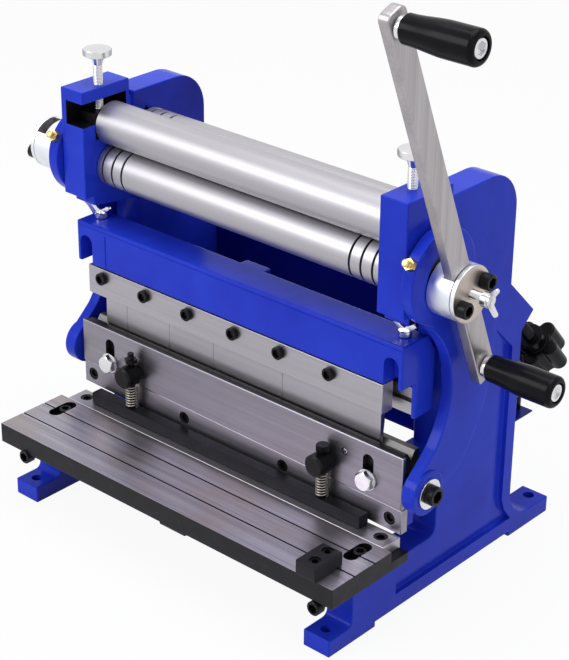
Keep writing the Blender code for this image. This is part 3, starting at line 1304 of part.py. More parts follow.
def build_hold_down():
    """Make the hold-down bar with its rods, barrels and springs."""
    bar_back = HOLD_BAR_FRONT + HOLD_BAR_DEPTH
    edge = HOLD_BAR_EDGE
    outline = [(HOLD_BAR_FRONT, HOLD_BAR_LOW), (HOLD_BAR_FRONT, HOLD_BAR_TOP - edge),
               (HOLD_BAR_FRONT + edge, HOLD_BAR_TOP), (bar_back - edge, HOLD_BAR_TOP),
               (bar_back, HOLD_BAR_TOP - edge), (bar_back, HOLD_BAR_LOW)]
    holes = []
    for word, place in (("left", HOLD_LEFT_X), ("right", HOLD_RIGHT_X)):
        centre = (place, HOLD_Y)
        holes.append(rod("Z", centre, HOLD_ROD + GAP, HOLD_BAR_TOP - HOLD_ROD_SEAT - GAP,
                         HOLD_BAR_TOP + CUT_OVER, SMALL_SIDES))
        barrel = rod("Y", (place, HOLD_BARREL_Z), HOLD_BARREL_RADIUS,
                     APRON_FRONT - GAP - HOLD_BARREL_LENGTH, APRON_FRONT - GAP)
        bore = rod("Z", centre, HOLD_ROD + GAP, BARREL_LOW - CUT_OVER,
                   BARREL_TOP + CUT_OVER, SMALL_SIDES)
        add_piece(f"{word}_hold_down_barrel", barrel, BLACK_OXIDE,
                  origin=(place, APRON_FRONT, HOLD_BARREL_Z), cuts=[bore])
        seat = BARREL_TOP + GAP
        profile = [(HOLD_BAR_TOP - HOLD_ROD_SEAT, HOLD_ROD), (seat, HOLD_ROD),
                   (seat, HOLD_HEAD), (seat + HOLD_HEAD_HEIGHT, HOLD_HEAD)]
        add_piece(f"{word}_hold_down_rod", turned("Z", centre, profile, SMALL_SIDES),
                  BLACK_OXIDE, origin=(place, HOLD_Y, HOLD_BAR_TOP))
        add_spring(f"{word}_hold_down_spring", place)
    add_piece("hold_down_bar", prism(outline, "X", HOLD_BAR_LEFT, HOLD_BAR_RIGHT),
              DARK_IRON, cuts=holes)


# Upper beam and its tools

def beam_outline():
    """Return the beam's section (y, z): a top block with a leg down its back."""
    knee = BEAM_LIP - BEAM_LEG_LOW
    return [(BEAM_FRONT, BEAM_LIP), (BEAM_FRONT, BEAM_TOP - BEAM_EDGE),
            (BEAM_FRONT + BEAM_EDGE, BEAM_TOP), (BEAM_REAR_TOP, BEAM_TOP),
            (BEAM_REAR, BEAM_TOP - knee / 2), (BEAM_REAR, BEAM_LEG_LOW),
            (BEAM_LEG_FRONT, BEAM_LEG_LOW), (BEAM_LEG_FRONT, BEAM_LIP)]


def notch_outline():
    """Return the inverted U (x, z) that opens at the bottom of the beam's right end."""
    half = (NOTCH_OUTER - NOTCH_INNER) / 2
    centre = (NOTCH_OUTER + NOTCH_INNER) / 2
    low = BEAM_LEG_LOW - CUT_OVER
    return ([(centre - half, low), (centre + half, low)]
            + arc(centre, NOTCH_CROWN - half, half, 0, 180, ARC_STEPS))


def build_beam():
    """Make the beam, the clamp bar, the backing bar, the fingers and the wing bolts."""
    joins = [block((-BEAM_BOSS_LEFT, BEAM_REAR_TOP - CUT_OVER, BEAM_TOP - BEAM_BOSS_HEIGHT),
                   (BEAM_BOSS_RIGHT, BEAM_BOSS_REAR, BEAM_TOP))]
    cuts = []
    for side in SIDE_NAMES:
        joins.append(block_side(side, (NOTCH_OUTER, BEAM_CHEEK_FRONT, BEAM_LEG_LOW),
                                (BEAM_HALF, BEAM_REAR, BEAM_LIP + CUT_OVER)))
        cuts.append(prism(flipped(notch_outline(), side), "Y", BEAM_FRONT - CUT_OVER,
                          BEAM_REAR + CUT_OVER))
        cuts.append(rod("Z", (side * WING_X, WING_Y), WING_SHANK + GAP,
                        NOTCH_CROWN - 2 * CUT_OVER, BEAM_TOP + CUT_OVER, SMALL_SIDES))
    add_piece("upper_beam", prism(beam_outline(), "X", -BEAM_HALF, BEAM_HALF), BLUE_PAINT,
              joins=joins, cuts=cuts)
    clamp_back = FINGER_FRONT - GAP
    clamp = block((CLAMP_LEFT, CLAMP_FRONT, CLAMP_LOW), (CLAMP_RIGHT, clamp_back, CLAMP_TOP))
    holes = [rod("Y", (place, CLAMP_SCREW_Z), CLAMP_SCREW_SHANK + GAP,
                 CLAMP_FRONT - CUT_OVER, clamp_back + CUT_OVER, SMALL_SIDES)
             for place in CLAMP_SCREW_PLACES]
    add_piece("clamp_bar", clamp, GROUND_STEEL, cuts=holes)
    build_backing_bar()
    build_fingers()
    for side, word in SIDE_NAMES.items():
        build_beam_wing(side, word)


def build_backing_bar():
    """Make the grooved bar that the fingers lie against."""
    front = FINGER_BACK + GAP
    back = BEAM_LEG_FRONT - GAP
    groove_top = BACKING_GROOVE_LOW + BACKING_GROOVE
    outline = [(front, BACKING_LOW), (front, BACKING_GROOVE_LOW),
               (front + BACKING_GROOVE_DEPTH, BACKING_GROOVE_LOW),
               (front + BACKING_GROOVE_DEPTH, groove_top), (front, groove_top),
               (front, BACKING_TOP), (back, BACKING_TOP), (back, BACKING_LOW)]
    holes = [rod("Y", (place, CLAMP_SCREW_Z), CLAMP_SCREW_SHANK + GAP,
                 front - CUT_OVER, back + CUT_OVER, SMALL_SIDES)
             for place in CLAMP_SCREW_PLACES]
    add_piece("finger_backing_bar", prism(outline, "X", -BACKING_HALF, BACKING_HALF),
              GROUND_STEEL, cuts=holes)


def finger_outline():
    """Return a finger's section (y, z): a flat plate with a tapered tip."""
    middle = (FINGER_FRONT + FINGER_BACK) / 2
    shoulder = FINGER_TIP + FINGER_TAPER
    return [(FINGER_FRONT, FINGER_TOP), (FINGER_FRONT, FINGER_TIP + FINGER_TAPER / 4),
            (middle - FINGER_TIP_HALF, FINGER_TIP), (middle + FINGER_TIP_HALF, FINGER_TIP),
            (FINGER_BACK, shoulder), (FINGER_BACK, FINGER_TOP)]


def build_fingers():
    """Make the row of bending fingers; their widths are whole inches."""
    start = FINGER_START
    for index, share in enumerate(FINGER_WIDTH_SHARES):
        end = start + share * FINGER_UNIT
        plate = prism(finger_outline(), "X", start, end - GAP)
        cuts = []
        for place in CLAMP_SCREW_PLACES:
            if start < place < end:
                half = CLAMP_SCREW_SHANK + GAP
                cuts.append(block((place - half, FINGER_FRONT - CUT_OVER,
                                   CLAMP_SCREW_Z - half),
                                  (place + half, FINGER_BACK + CUT_OVER,
                                   FINGER_TOP + CUT_OVER)))
        add_piece(f"finger_{index + 1}", plate, GROUND_STEEL, cuts=cuts)
        start = end


def build_beam_wing(side, word):
    """Make a wing bolt that locks the beam on its lug."""
    place = (side * WING_X, WING_Y)
    seat = BEAM_TOP + GAP
    tip = NOTCH_CROWN + CUT_OVER / 4
    collar_top = seat + WING_COLLAR_HEIGHT
    profile = [(tip, WING_SHANK), (seat, WING_SHANK), (seat, WING_COLLAR),
               (collar_top, WING_COLLAR)]
    half = WING_THICK / 2
    wing = prism([(side * WING_X + a, b) for a, b in wing_outline(collar_top - GAP)],
                 "Y", WING_Y - half, WING_Y + half)
    add_piece(f"{word}_beam_wing_bolt", turned("Z", place, profile, SMALL_SIDES),
              BRIGHT_CHROME, origin=(side * WING_X, WING_Y, BEAM_TOP), joins=[wing])


# Hubs, crank and grips

def turned_to_crank(mesh):
    """Turn a mesh drawn with the crank upright to the crank's resting tilt."""
    centre = Vector((0.0, SHAFT_Y, SHAFT_Z))
    turn = Matrix.Rotation(CRANK_TILT, 4, "X")
    mesh.transform(Matrix.Translation(centre) @ turn @ Matrix.Translation(-centre))
    return mesh


def build_hubs():
    """Make both slotted hubs with their cover discs and wing bolts."""
    for side, word in SIDE_NAMES.items():
        low, end = crank_slot(side)
        hub = rod_side(side, (SHAFT_Y, SHAFT_Z), HUB_RADIUS, HUB_INNER, end, FINE_SIDES)
        bore = rod_side(side, (SHAFT_Y, SHAFT_Z), MAIN_JOURNAL + GAP,
                        HUB_INNER - CUT_OVER, low + CUT_OVER / 2)
        half = CRANK_WIDTH / 2 + GAP
        reach = HUB_RADIUS + CUT_OVER
        way = turned_to_crank(block_side(side, (low, SHAFT_Y - half, SHAFT_Z - reach),
                                         (end + CUT_OVER, SHAFT_Y + half,
                                          SHAFT_Z + reach)))
        axis = (0.0, SHAFT_Y, SHAFT_Z)
        add_piece(f"{word}_hub", hub, BRIGHT_CHROME, origin=axis, cuts=[bore, way])
        disc_low = end + GAP
        disc_high = disc_low + HUB_DISC_THICK
        disc = rod_side(side, (SHAFT_Y, SHAFT_Z), HUB_RADIUS, disc_low, disc_high,
                        FINE_SIDES)
        hole = rod_side(side, (SHAFT_Y, SHAFT_Z), WING_SHANK + GAP, disc_low - CUT_OVER,
                        disc_high + CUT_OVER, SMALL_SIDES)
        add_piece(f"{word}_hub_disc", disc, BRIGHT_CHROME, origin=axis, cuts=[hole])
        build_hub_wing(side, word, disc_low, disc_high + GAP)


def build_hub_wing(side, word, start, seat):
    """Make the wing bolt that clamps the crank bar in its hub."""
    reach = seat + HUB_WING_REACH[side]
    profile = [(side * start, WING_SHANK), (side * reach, WING_SHANK),
               (side * reach, WING_COLLAR), (side * (reach + WING_THICK / 2), WING_COLLAR)]
    half = WING_THICK / 2
    outline = [(side * b, SHAFT_Z + a) for a, b in wing_outline(reach)]
    wing = prism(outline, "Y", SHAFT_Y - half, SHAFT_Y + half)
    add_piece(f"{word}_hub_wing_bolt",
              turned("X", (SHAFT_Y, SHAFT_Z), profile, SMALL_SIDES), BRIGHT_CHROME,
              origin=(0.0, SHAFT_Y, SHAFT_Z), joins=[wing])


def crank_place(reach):
    """Return the (y, z) of a point on the crank bar's centre line."""
    return (SHAFT_Y + CRANK_UP.y * reach, SHAFT_Z + CRANK_UP.z * reach)


def build_crank():
    """Make the crank bar and its two turning grips on their spindles."""
    low, end = crank_slot(1)
    bar_low = low + GAP
    bar_high = end
    half = CRANK_WIDTH / 2
    top = SHAFT_Z + CRANK_TOP
    bottom = SHAFT_Z - CRANK_LOW
    corner = CRANK_CORNER
    outline = ([(SHAFT_Y - half, bottom), (SHAFT_Y + half, bottom)]
               + arc(SHAFT_Y + half - corner, top - corner, corner, 0, 90, FILLET_STEPS)
               + arc(SHAFT_Y - half + corner, top - corner, corner, 90, 180, FILLET_STEPS))
    bar = turned_to_crank(prism(outline, "X", bar_low, bar_high))
    places = (("high", crank_place(GRIP_HIGH_AT)), ("low", crank_place(-GRIP_LOW_AT)))
    holes = [rod("X", place, SPINDLE_RADIUS + GAP, bar_low - CUT_OVER,
                 bar_high + CUT_OVER, SMALL_SIDES) for _, place in places]
    add_piece("crank_bar", bar, BRIGHT_CHROME, origin=(0.0, SHAFT_Y, SHAFT_Z), cuts=holes)
    for word, place in places:
        build_grip(word, place, bar_low, bar_high)


def build_grip(word, place, bar_low, bar_high):
    """Make one grip and the spindle that it turns on."""
    collar_low = bar_high + GAP
    collar_high = collar_low + SPINDLE_COLLAR_LENGTH
    grip_low = collar_high + GAP
    grip_high = grip_low + GRIP_LENGTH
    seat = grip_high - GRIP_RECESS_DEPTH
    spindle = [(bar_low, SPINDLE_RADIUS), (collar_low, SPINDLE_RADIUS),
               (collar_low, SPINDLE_COLLAR), (collar_high, SPINDLE_COLLAR),
               (collar_high, SPINDLE_RADIUS), (seat + GAP, SPINDLE_RADIUS),
               (seat + GAP, SPINDLE_HEAD), (seat + GAP + SPINDLE_HEAD_THICK, SPINDLE_HEAD)]
    origin = (0.0, place[0], place[1])
    add_piece(f"{word}_grip_spindle", turned("X", place, spindle, SMALL_SIDES),
              BRIGHT_CHROME, origin=origin)
    swell = GRIP_LENGTH / 4
    profile = [(grip_low, GRIP_NECK), (grip_low + GRIP_NECK / 4, GRIP_NECK + GAP),
               (grip_low + swell, GRIP_RADIUS - 4 * GAP),
               (grip_low + 2 * swell, GRIP_RADIUS), (grip_high - swell / 3, GRIP_RADIUS),
               (grip_high - swell / 9, GRIP_RADIUS - swell / 9),
               (grip_high, GRIP_RADIUS - swell / 4)]
    bore = rod("X", place, GRIP_BORE, grip_low - CUT_OVER, grip_high + CUT_OVER,
               SMALL_SIDES)
    recess = rod("X", place, GRIP_RECESS, seat, grip_high + CUT_OVER, SMALL_SIDES)
    add_piece(f"{word}_grip", turned("X", place, profile, ROUND_SIDES), BLACK_PLASTIC,
              origin=origin, cuts=[bore, recess])


# Rear shelf

def build_shelf():
    """Make the thin shelf between the frames and the wall that stands on it."""
    half = PLATE_INNER - GAP
    shelf = block((-half, SHELF_FRONT, SHELF_TOP - SHELF_THICK),
                  (half, SHELF_REAR, SHELF_TOP))
    wall = block((-half, WALL_FRONT, SHELF_TOP - SHELF_THICK / 2), (half, WALL_BACK, WALL_TOP))
    add_piece("rear_shelf", shelf, BLUE_PAINT, joins=[wall])


build_frames()
build_rolls()
build_bearings()
build_gears()
build_thumb_screws()
build_rear_adjusters()
build_table()
build_ram()
build_arms()
build_hold_down()
build_beam()
build_hubs()
build_crank()
build_shelf()
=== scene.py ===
"""Looks of a combination bench machine for sheet metal: shear, finger brake, slip roll.

Pieces are drawn in the machine's own axes, in metres: x = 0 midway between the
side frames, y = 0 midway along the feet, z = 0 on the bench. add_piece() moves
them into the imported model's frame, by an offset that the side frames' boxes give.
"""
import json
import math

import bmesh
import bpy
from mathutils import Matrix, Vector


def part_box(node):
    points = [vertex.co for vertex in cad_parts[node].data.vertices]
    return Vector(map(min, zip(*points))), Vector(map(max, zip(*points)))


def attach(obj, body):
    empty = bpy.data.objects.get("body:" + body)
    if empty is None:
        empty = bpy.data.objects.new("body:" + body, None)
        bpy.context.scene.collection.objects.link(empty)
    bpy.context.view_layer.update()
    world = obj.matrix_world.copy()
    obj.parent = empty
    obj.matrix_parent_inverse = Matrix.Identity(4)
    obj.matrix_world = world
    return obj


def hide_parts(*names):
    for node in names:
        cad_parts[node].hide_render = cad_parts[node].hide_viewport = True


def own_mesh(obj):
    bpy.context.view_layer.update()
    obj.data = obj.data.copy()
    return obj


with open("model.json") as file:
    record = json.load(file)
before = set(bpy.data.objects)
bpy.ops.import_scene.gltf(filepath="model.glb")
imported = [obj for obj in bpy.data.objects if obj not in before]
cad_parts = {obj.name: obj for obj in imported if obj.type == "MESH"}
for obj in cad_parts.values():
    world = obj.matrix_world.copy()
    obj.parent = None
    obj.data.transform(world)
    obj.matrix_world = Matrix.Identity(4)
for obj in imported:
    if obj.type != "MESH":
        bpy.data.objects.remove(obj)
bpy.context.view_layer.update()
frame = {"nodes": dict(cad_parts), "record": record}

# Offset from the machine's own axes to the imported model
LEFT_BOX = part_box("left_frame")
RIGHT_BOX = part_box("right_frame")
OFFSET = Vector(((LEFT_BOX[0][0] + RIGHT_BOX[1][0]) / 2,
                 (LEFT_BOX[0][1] + LEFT_BOX[1][1]) / 2, 0.0))


def box(node):
    """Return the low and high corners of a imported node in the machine's own axes."""
    return [Vector(corner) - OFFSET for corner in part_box(node)]


def middle(node):
    """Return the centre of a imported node's box in the machine's own axes."""
    low, high = box(node)
    return (low + high) / 2


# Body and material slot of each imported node
BODY_OF = {node: body for body, nodes in frame["record"]["behaviour"]["bodies"].items()
           for node in nodes}
SLOT_OF = {row["node"]: row["material_slot"] for row in frame["record"]["subparts"]}

# Clearances and overruns
GAP = 0.0003
CUT_OVER = 0.004

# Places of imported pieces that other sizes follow
_, SHAFT_Y, SHAFT_Z = middle("main_roll")
_, REAR_Y, REAR_Z = middle("rear_roll")
_, PIN_Y, PIN_Z = middle("right_arm_pin")
UPPER_Z = middle("upper_roll").z
THUMB_X, THUMB_Y, _ = middle("right_thumb_screw")
WING_X, WING_Y, _ = middle("right_beam_wing_bolt")
APRON_SLOT_X, _, APRON_BOLT_Z = middle("right_apron_bolt")
HOLD_Y = middle("hold_down_bar").y
HOLD_BARREL_Z = middle("right_hold_down_barrel").z
(PLATE_INNER, FOOT_FRONT, _), (HEAD_OUTER, FOOT_REAR, HEAD_TOP) = box("right_frame")
(_, _, BLOCK_BOTTOM), (_, _, BLOCK_TOP) = box("right_upper_bearing")
(_, BLADE_FRONT, _), (BLADE_HALF, SHEAR_LINE, TABLE_TOP) = box("lower_blade")
(_, TABLE_FRONT, _), (TABLE_HALF, _, _) = box("work_table")
(_, BLADE_FACE, BLADE_LOW_RIGHT), (_, BLADE_BACK, SEAM_LEFT) = box("upper_blade")
(_, APRON_FRONT, APRON_LOW), (_, APRON_BACK, APRON_TOP) = box("apron_plate")
(_, FINGER_FRONT, FINGER_TIP), (_, FINGER_BACK, FINGER_TOP) = box("finger_1")
(_, BEAM_FRONT, BEAM_LEG_LOW), (BEAM_HALF, BEAM_REAR, BEAM_TOP) = box("upper_beam")
RAM_REAR, RAM_TOP = box("ram_body")[1].yz
HOLD_BAR_TOP = box("hold_down_bar")[1].z
CLAMP_TOP = box("clamp_bar")[1].z
GEAR_OUTER = box("lower_gear")[1].x
ARM_INNER = box("right_link_arm")[0].x

# Working width of twelve inches, which the rolls follow
WORK_WIDTH = 0.3048

# Rolls
ROLL_OVER_WIDTH = 0.0028
ROLL_RADIUS = 0.0182
MAIN_JOURNAL = 0.0100
UPPER_JOURNAL = 0.0080
REAR_JOURNAL = 0.0070
REAR_ROLL_PLAY = 0.0004
ROLL_EDGE = 0.0006
GROOVE_PITCH = 0.0112
GROOVE_HALF = 0.0011
GROOVE_DEPTH = 0.0013
GROOVE_FIRST_LEFT = 0.0065
GROOVE_FIRST_RIGHT = 0.0155
GROOVES = 3

# Side frames
PLATE_THICK = 0.0260
PLATE_DEPTH = 0.1030
PLATE_DROP = 0.0115
UPRIGHT_STEP = 0.0020
SUPPORT_REACH = 0.0570
PAD_LENGTH = 0.0560
PAD_HEIGHT = 0.0150
ARCH_HEIGHT = 0.0045
REAR_FLARE = 0.0300
FRONT_FILLET = 0.0050
THROAT_FILLET = 0.0080
NOSE_RUN_Y = 0.0149
NOSE_RUN_Z = 0.0135
NOSE_HEIGHT = 0.0475
TOP_REAR_STEP = 0.0190
TOP_RADIUS = 0.0340
FOOT_HOLE = 0.0048
FOOT_HOLE_FRONT_INSET = 0.0120
FOOT_HOLE_REAR_INSET = 0.0100
RECESS_DEPTH = 0.0045
RECESS_RISE = 0.0030
RECESS_BAND = 0.0120
RECESS_REACH = 0.0480
RECESS_INNER_INSET = 0.0280
RECESS_OUTER_INSET = 0.0120
RECESS_CORNER_REACH = 0.0020
RECESS_TIP_INSET = 0.0364
RECESS_TIP_RISE = 0.0145
RECESS_SHOULDER_DROP = 0.0095

# Head blocks, measured from the rolls
HEAD_AHEAD = 0.0133
HEAD_UNDER = 0.0053
HEAD_BEHIND = 0.0038
CORBEL_STEP = 0.0095
CORBEL_DROP = 0.0080
CORBEL_REAR_DROP = 0.0160
BLOCK_HALF = 0.0175
BLOCK_LENGTH = {-1: 0.0190, 1: 0.0124}
SLOT_ROOF = 0.0100
WINDOW_SILL = 0.0022
BUSH_WALL = 0.0030
GEAR_TEETH = 22
GEAR_ROOM = 0.0006
ROLL_LIFT = 0.0030

# Thumb screws over the upper roll
THUMB_SHANK = 0.0040
THUMB_NECK = 0.0060
THUMB_NECK_LENGTH = 0.0080
THUMB_KNOB_RADIUS = 0.0120
THUMB_KNOB_LIFT = 0.0200

# Rear roll adjusters, which run down and back through the frames
REAR_TILT = math.radians(48.17)
REAR_BLOCK_HALF = 0.0110
REAR_BLOCK_LENGTH = 0.0180
REAR_TRAVEL_OUT = 0.0200
REAR_TRAVEL_IN = 0.0070
REAR_SCREW = 0.0050
REAR_SCREW_INSET = 0.0115
KNOB_ROOM = 0.0374
KNOB_NECK = 0.0110
KNOB_NECK_LENGTH = 0.0110
KNOB_LENGTH = 0.0290
KNOB_LOBES = 5
KNOB_LOBE_CENTRE = 0.0145
KNOB_LOBE_RADIUS = 0.0068
KNOB_LOBE_SWEEP = 100

# Table and lower blade
TABLE_THICK = 0.0177
LEDGE_DROP = 0.0097
TABLE_GROOVE_HALF = 0.0008
TABLE_GROOVE_DEPTH = 0.0010
TABLE_GROOVE_INSETS = (0.0253, 0.0492)
TABLE_SLOT_INSET = 0.0140
TABLE_SLOT_REACH = 0.0170
TABLE_SLOT_RADIUS = 0.0060
TABLE_SLOT_DEPTH = 0.0075
TABLE_BORE_RADIUS = 0.0037
TABLE_TRAVEL = 0.0050
TABLE_SCREW_INSET = 0.0220
TABLE_LUG_X = 0.0039
TABLE_LUG_WIDTH = 0.0290
TABLE_LUG_DEPTH = 0.0120
TABLE_LUG_DROP = 0.0025
GUIDE_CHAMFER = 0.0012

# Ram, apron and upper blade
RAM_STROKE = 0.0110
RAM_INSET = 0.0061
RAM_HEIGHT = 0.0465
VEE_HALF = 0.0045
VEE_DEPTH = 0.0065
VEE_LAND = 0.0050
RAM_CHEEK_DROP = 0.0085
RAM_SEAT_DEPTH = 0.0147
BLADE_THICK = 0.0080
BLADE_OPEN_LEFT = 0.0093
BLADE_SEAT_DROP = 0.0020
APRON_SLOT_RADIUS = 0.0054
APRON_SLOT_RUN = 0.0166
APRON_BOLT_SHANK = 0.0034
APRON_BOLT_WASHER = 0.0090
APRON_BOLT_WASHER_THICK = 0.0016
APRON_BOLT_HEAD = 0.0150
APRON_BOLT_HEAD_THICK = 0.0055
APRON_LIFT = 0.0020

# Hold-down
HOLD_BARREL_RADIUS = 0.0095
HOLD_BARREL_LENGTH = 0.0190
HOLD_ROD = 0.0028
HOLD_ROD_SEAT = 0.0060
HOLD_HEAD = 0.0056
HOLD_HEAD_HEIGHT = 0.0060
HOLD_BAR_EDGE = 0.0008
SPRING_WIRE = 0.0012
SPRING_RADIUS = 0.0049
SPRING_CURLS = 8

# Upper beam, fingers and their clamp
FINGERS = 5
FINGER_TIP_HALF = 0.0006
FINGER_TAPER = 0.0180
CLAMP_SCREW_DROP = 0.0082
CLAMP_SCREW_SHARES = (0.053, 0.210, 0.365, 0.524, 0.677, 0.839)
BACKING_GROOVE_RISE = 0.0105
BACKING_GROOVE = 0.0040
BACKING_GROOVE_DEPTH = 0.0050
BEAM_LIP_ROOM = 0.0014
BEAM_LEG_THICK = 0.0092
BEAM_BACK_SLOPE = 0.0100
BEAM_EDGE = 0.0015
BEAM_CHEEK_DEPTH = 0.0232
BEAM_BOSS_LEFT = 0.0155
BEAM_BOSS_RIGHT = 0.0105
BEAM_BOSS_INSET = 0.0018
BEAM_BOSS_HEIGHT = 0.0080
NOTCH_INSET = 0.0028
NOTCH_WIDTH = 0.0144
NOTCH_ROOF = 0.0117
LUG_STEP = 0.0119
LUG_RISE = 0.0030
WING_SHANK = 0.0040
WING_COLLAR = 0.0052
WING_COLLAR_HEIGHT = 0.0050
WING_SPAN = 0.0115
WING_RISE = 0.0075
WING_THICK = 0.0030

# Link arms, eccentrics and their pins; an arm's points are distances behind the shaft
# with shares of the way up from the pin to the shaft
ARM_THICK = 0.0104
ARM_RING = 0.0380
ARM_BOSS = 0.0185
ARM_BOSS_MERGE = math.radians(132)
ARM_BOSS_RISE = 0.0020
ECCENTRIC = 0.0200
SHAFT_ROOM = 0.0004
PIN_SHANK = 0.0050
PIN_WASHER = 0.0125
PIN_WASHER_THICK = 0.0015
PIN_HEAD = 0.0080
PIN_HEAD_HEIGHT = 0.0068
PIN_DEPTH = 0.0300
RAM_BOSS = 0.0068
ARM_THROAT_SHARES = ((-0.0100, 0.797), (0.0168, 0.466), (-0.0004, 0.187))
ARM_HEEL_SHARES = ((0.0304, 0.030), (0.0640, 0.352), (0.0690, 0.483))
ARM_BACK_SHARE = (0.0690, 0.729)

# Hubs, crank bar and grips
HUB_RADIUS = 0.0222
HUB_LENGTH = {-1: 0.0357, 1: 0.0208}
HUB_DISC_THICK = 0.0037
HUB_WING_REACH = {-1: 0.0085, 1: 0.0155}
CRANK_THICK = 0.0096
CRANK_WIDTH = 0.0200
CRANK_TILT = math.radians(22.25)
CRANK_TOP = 0.2500
CRANK_LOW = 0.0880
CRANK_CORNER = 0.0060
GRIP_HIGH_INSET = 0.0129
GRIP_LOW_INSET = 0.0121
GRIP_LENGTH = 0.0590
GRIP_RADIUS = 0.0126
GRIP_NECK = 0.0105
GRIP_BORE = 0.0040
GRIP_RECESS = 0.0080
GRIP_RECESS_DEPTH = 0.0060
SPINDLE_COLLAR = 0.0090
SPINDLE_COLLAR_LENGTH = 0.0050
SPINDLE_RADIUS = 0.0036
SPINDLE_HEAD = 0.0074
SPINDLE_HEAD_THICK = 0.0045

# Rear shelf between the frames, and the wall that stands on it
SHELF_THICK = 0.0012
WALL_THICK = 0.0012
WALL_INSET = 0.0040

# Facets round a full turn, and steps along an arc
ROLL_SIDES = 128
RIM_SIDES = 96
KNURLS = 96
ROUND_SIDES = 64
COLLAR_SIDES = 48
SCREW_SIDES = 32
THROAT_STEPS = 24
SPRING_STEPS = 24
BACK_STEPS = 16
LOBE_STEPS = 14
WIDE_STEPS = 12
ARC_STEPS = 12
GRIP_STEPS = 12
GROOVE_STEPS = 8
FILLET_STEPS = 5

# Rounded edges; cast ones have more segments, ground ones a single one
EDGE = 0.0006
CAST_EDGE = 0.0010
ARM_EDGE = 0.0012
CRANK_EDGE = 0.0014
TABLE_EDGE = 0.0005
CAST_SEGMENTS = 3
EDGE_LIMIT = math.radians(30)
KNOB_EDGE_LIMIT = math.radians(50)
SHARP_ANGLE = math.radians(40)

# Heights, from the table up to the rolls
TABLE_BOTTOM = TABLE_TOP - TABLE_THICK
SUPPORT_TOP = TABLE_BOTTOM - GAP
LEDGE_TOP = TABLE_TOP - LEDGE_DROP
BLADE_LOW_LEFT = TABLE_TOP + BLADE_OPEN_LEFT
SEAM_RIGHT = APRON_LOW - GAP
RAM_WAIST = RAM_TOP - RAM_HEIGHT
APRON_SLOT_LOW = APRON_BOLT_Z - APRON_LIFT
APRON_SLOT_HIGH = APRON_BOLT_Z + APRON_SLOT_RUN
BARREL_LOW = HOLD_BARREL_Z - HOLD_BARREL_RADIUS
BARREL_TOP = HOLD_BARREL_Z + HOLD_BARREL_RADIUS
BEAM_LIP = CLAMP_TOP + BEAM_LIP_ROOM
NOTCH_CROWN = BEAM_TOP - NOTCH_ROOF
LUG_LOW = BEAM_LIP + LUG_RISE
RING_Z = SHAFT_Z + RAM_STROKE / 2
HEAD_BOTTOM = SHAFT_Z - ROLL_RADIUS - HEAD_UNDER
PLATE_TOP = HEAD_TOP - PLATE_DROP
SLOT_TOP = HEAD_TOP - SLOT_ROOF
THUMB_KNOB_Z = HEAD_TOP + THUMB_KNOB_LIFT

# Gears, which turn the upper roll from the main shaft
GEAR_PITCH = (UPPER_Z - SHAFT_Z) / 2
GEAR_MODULE = 2 * GEAR_PITCH / GEAR_TEETH
GEAR_TIP = GEAR_PITCH + GEAR_MODULE
POCKET_HALF = GEAR_TIP + GEAR_ROOM
BUSH_OUTER = MAIN_JOURNAL + GAP + BUSH_WALL

# Depths, from the main shaft forward and back
VEE_Y = (FINGER_FRONT + FINGER_BACK) / 2
RAM_FRONT = APRON_BACK + GAP
HEAD_FRONT = SHAFT_Y - ROLL_RADIUS - HEAD_AHEAD
HEAD_BACK = SHAFT_Y + ROLL_RADIUS + HEAD_BEHIND
UPRIGHT_FRONT = HEAD_BACK + UPRIGHT_STEP
PLATE_REAR = UPRIGHT_FRONT + PLATE_DEPTH
TOP_REAR_Y = PLATE_REAR - TOP_REAR_STEP
CORBEL_FRONT = HEAD_FRONT + CORBEL_STEP
VEE_LAND_REAR = VEE_Y + VEE_HALF + VEE_LAND
RAM_HOLLOW_FRONT = RAM_FRONT + RAM_SEAT_DEPTH
SUPPORT_FRONT = SHEAR_LINE - SUPPORT_REACH
TABLE_SCREW_Y = SUPPORT_FRONT + TABLE_SCREW_INSET
TABLE_SLOT_FRONT = TABLE_SCREW_Y - TABLE_SLOT_REACH
TABLE_SLOT_REAR = TABLE_SCREW_Y + TABLE_TRAVEL + TABLE_SLOT_RADIUS
BEAM_REAR_TOP = BEAM_REAR - BEAM_BACK_SLOPE
BEAM_LEG_FRONT = BEAM_REAR - BEAM_LEG_THICK
BEAM_CHEEK_FRONT = BEAM_REAR - BEAM_CHEEK_DEPTH
BEAM_BOSS_REAR = BEAM_REAR - BEAM_BOSS_INSET
LUG_FRONT = BEAM_FRONT + LUG_STEP
WALL_BACK = PLATE_REAR - WALL_INSET
WALL_FRONT = WALL_BACK - WALL_THICK
FOOT_HOLE_FRONT = FOOT_FRONT + FOOT_HOLE_FRONT_INSET
FOOT_HOLE_REAR = FOOT_REAR - FOOT_HOLE_REAR_INSET

# Nose of each frame, square to the rear adjuster that leaves it
NOSE_Y = PLATE_REAR + NOSE_RUN_Y / 2
NOSE_REACH = (NOSE_Y - REAR_Y) / math.cos(REAR_TILT)
NOSE_LOW_Z = REAR_Z - NOSE_REACH * math.sin(REAR_TILT) - NOSE_RUN_Z / 2
NOSE_TOP_Z = NOSE_LOW_Z + NOSE_HEIGHT
KNOB_START = NOSE_REACH + KNOB_ROOM
KNOB_END = KNOB_START + KNOB_NECK_LENGTH + KNOB_LENGTH

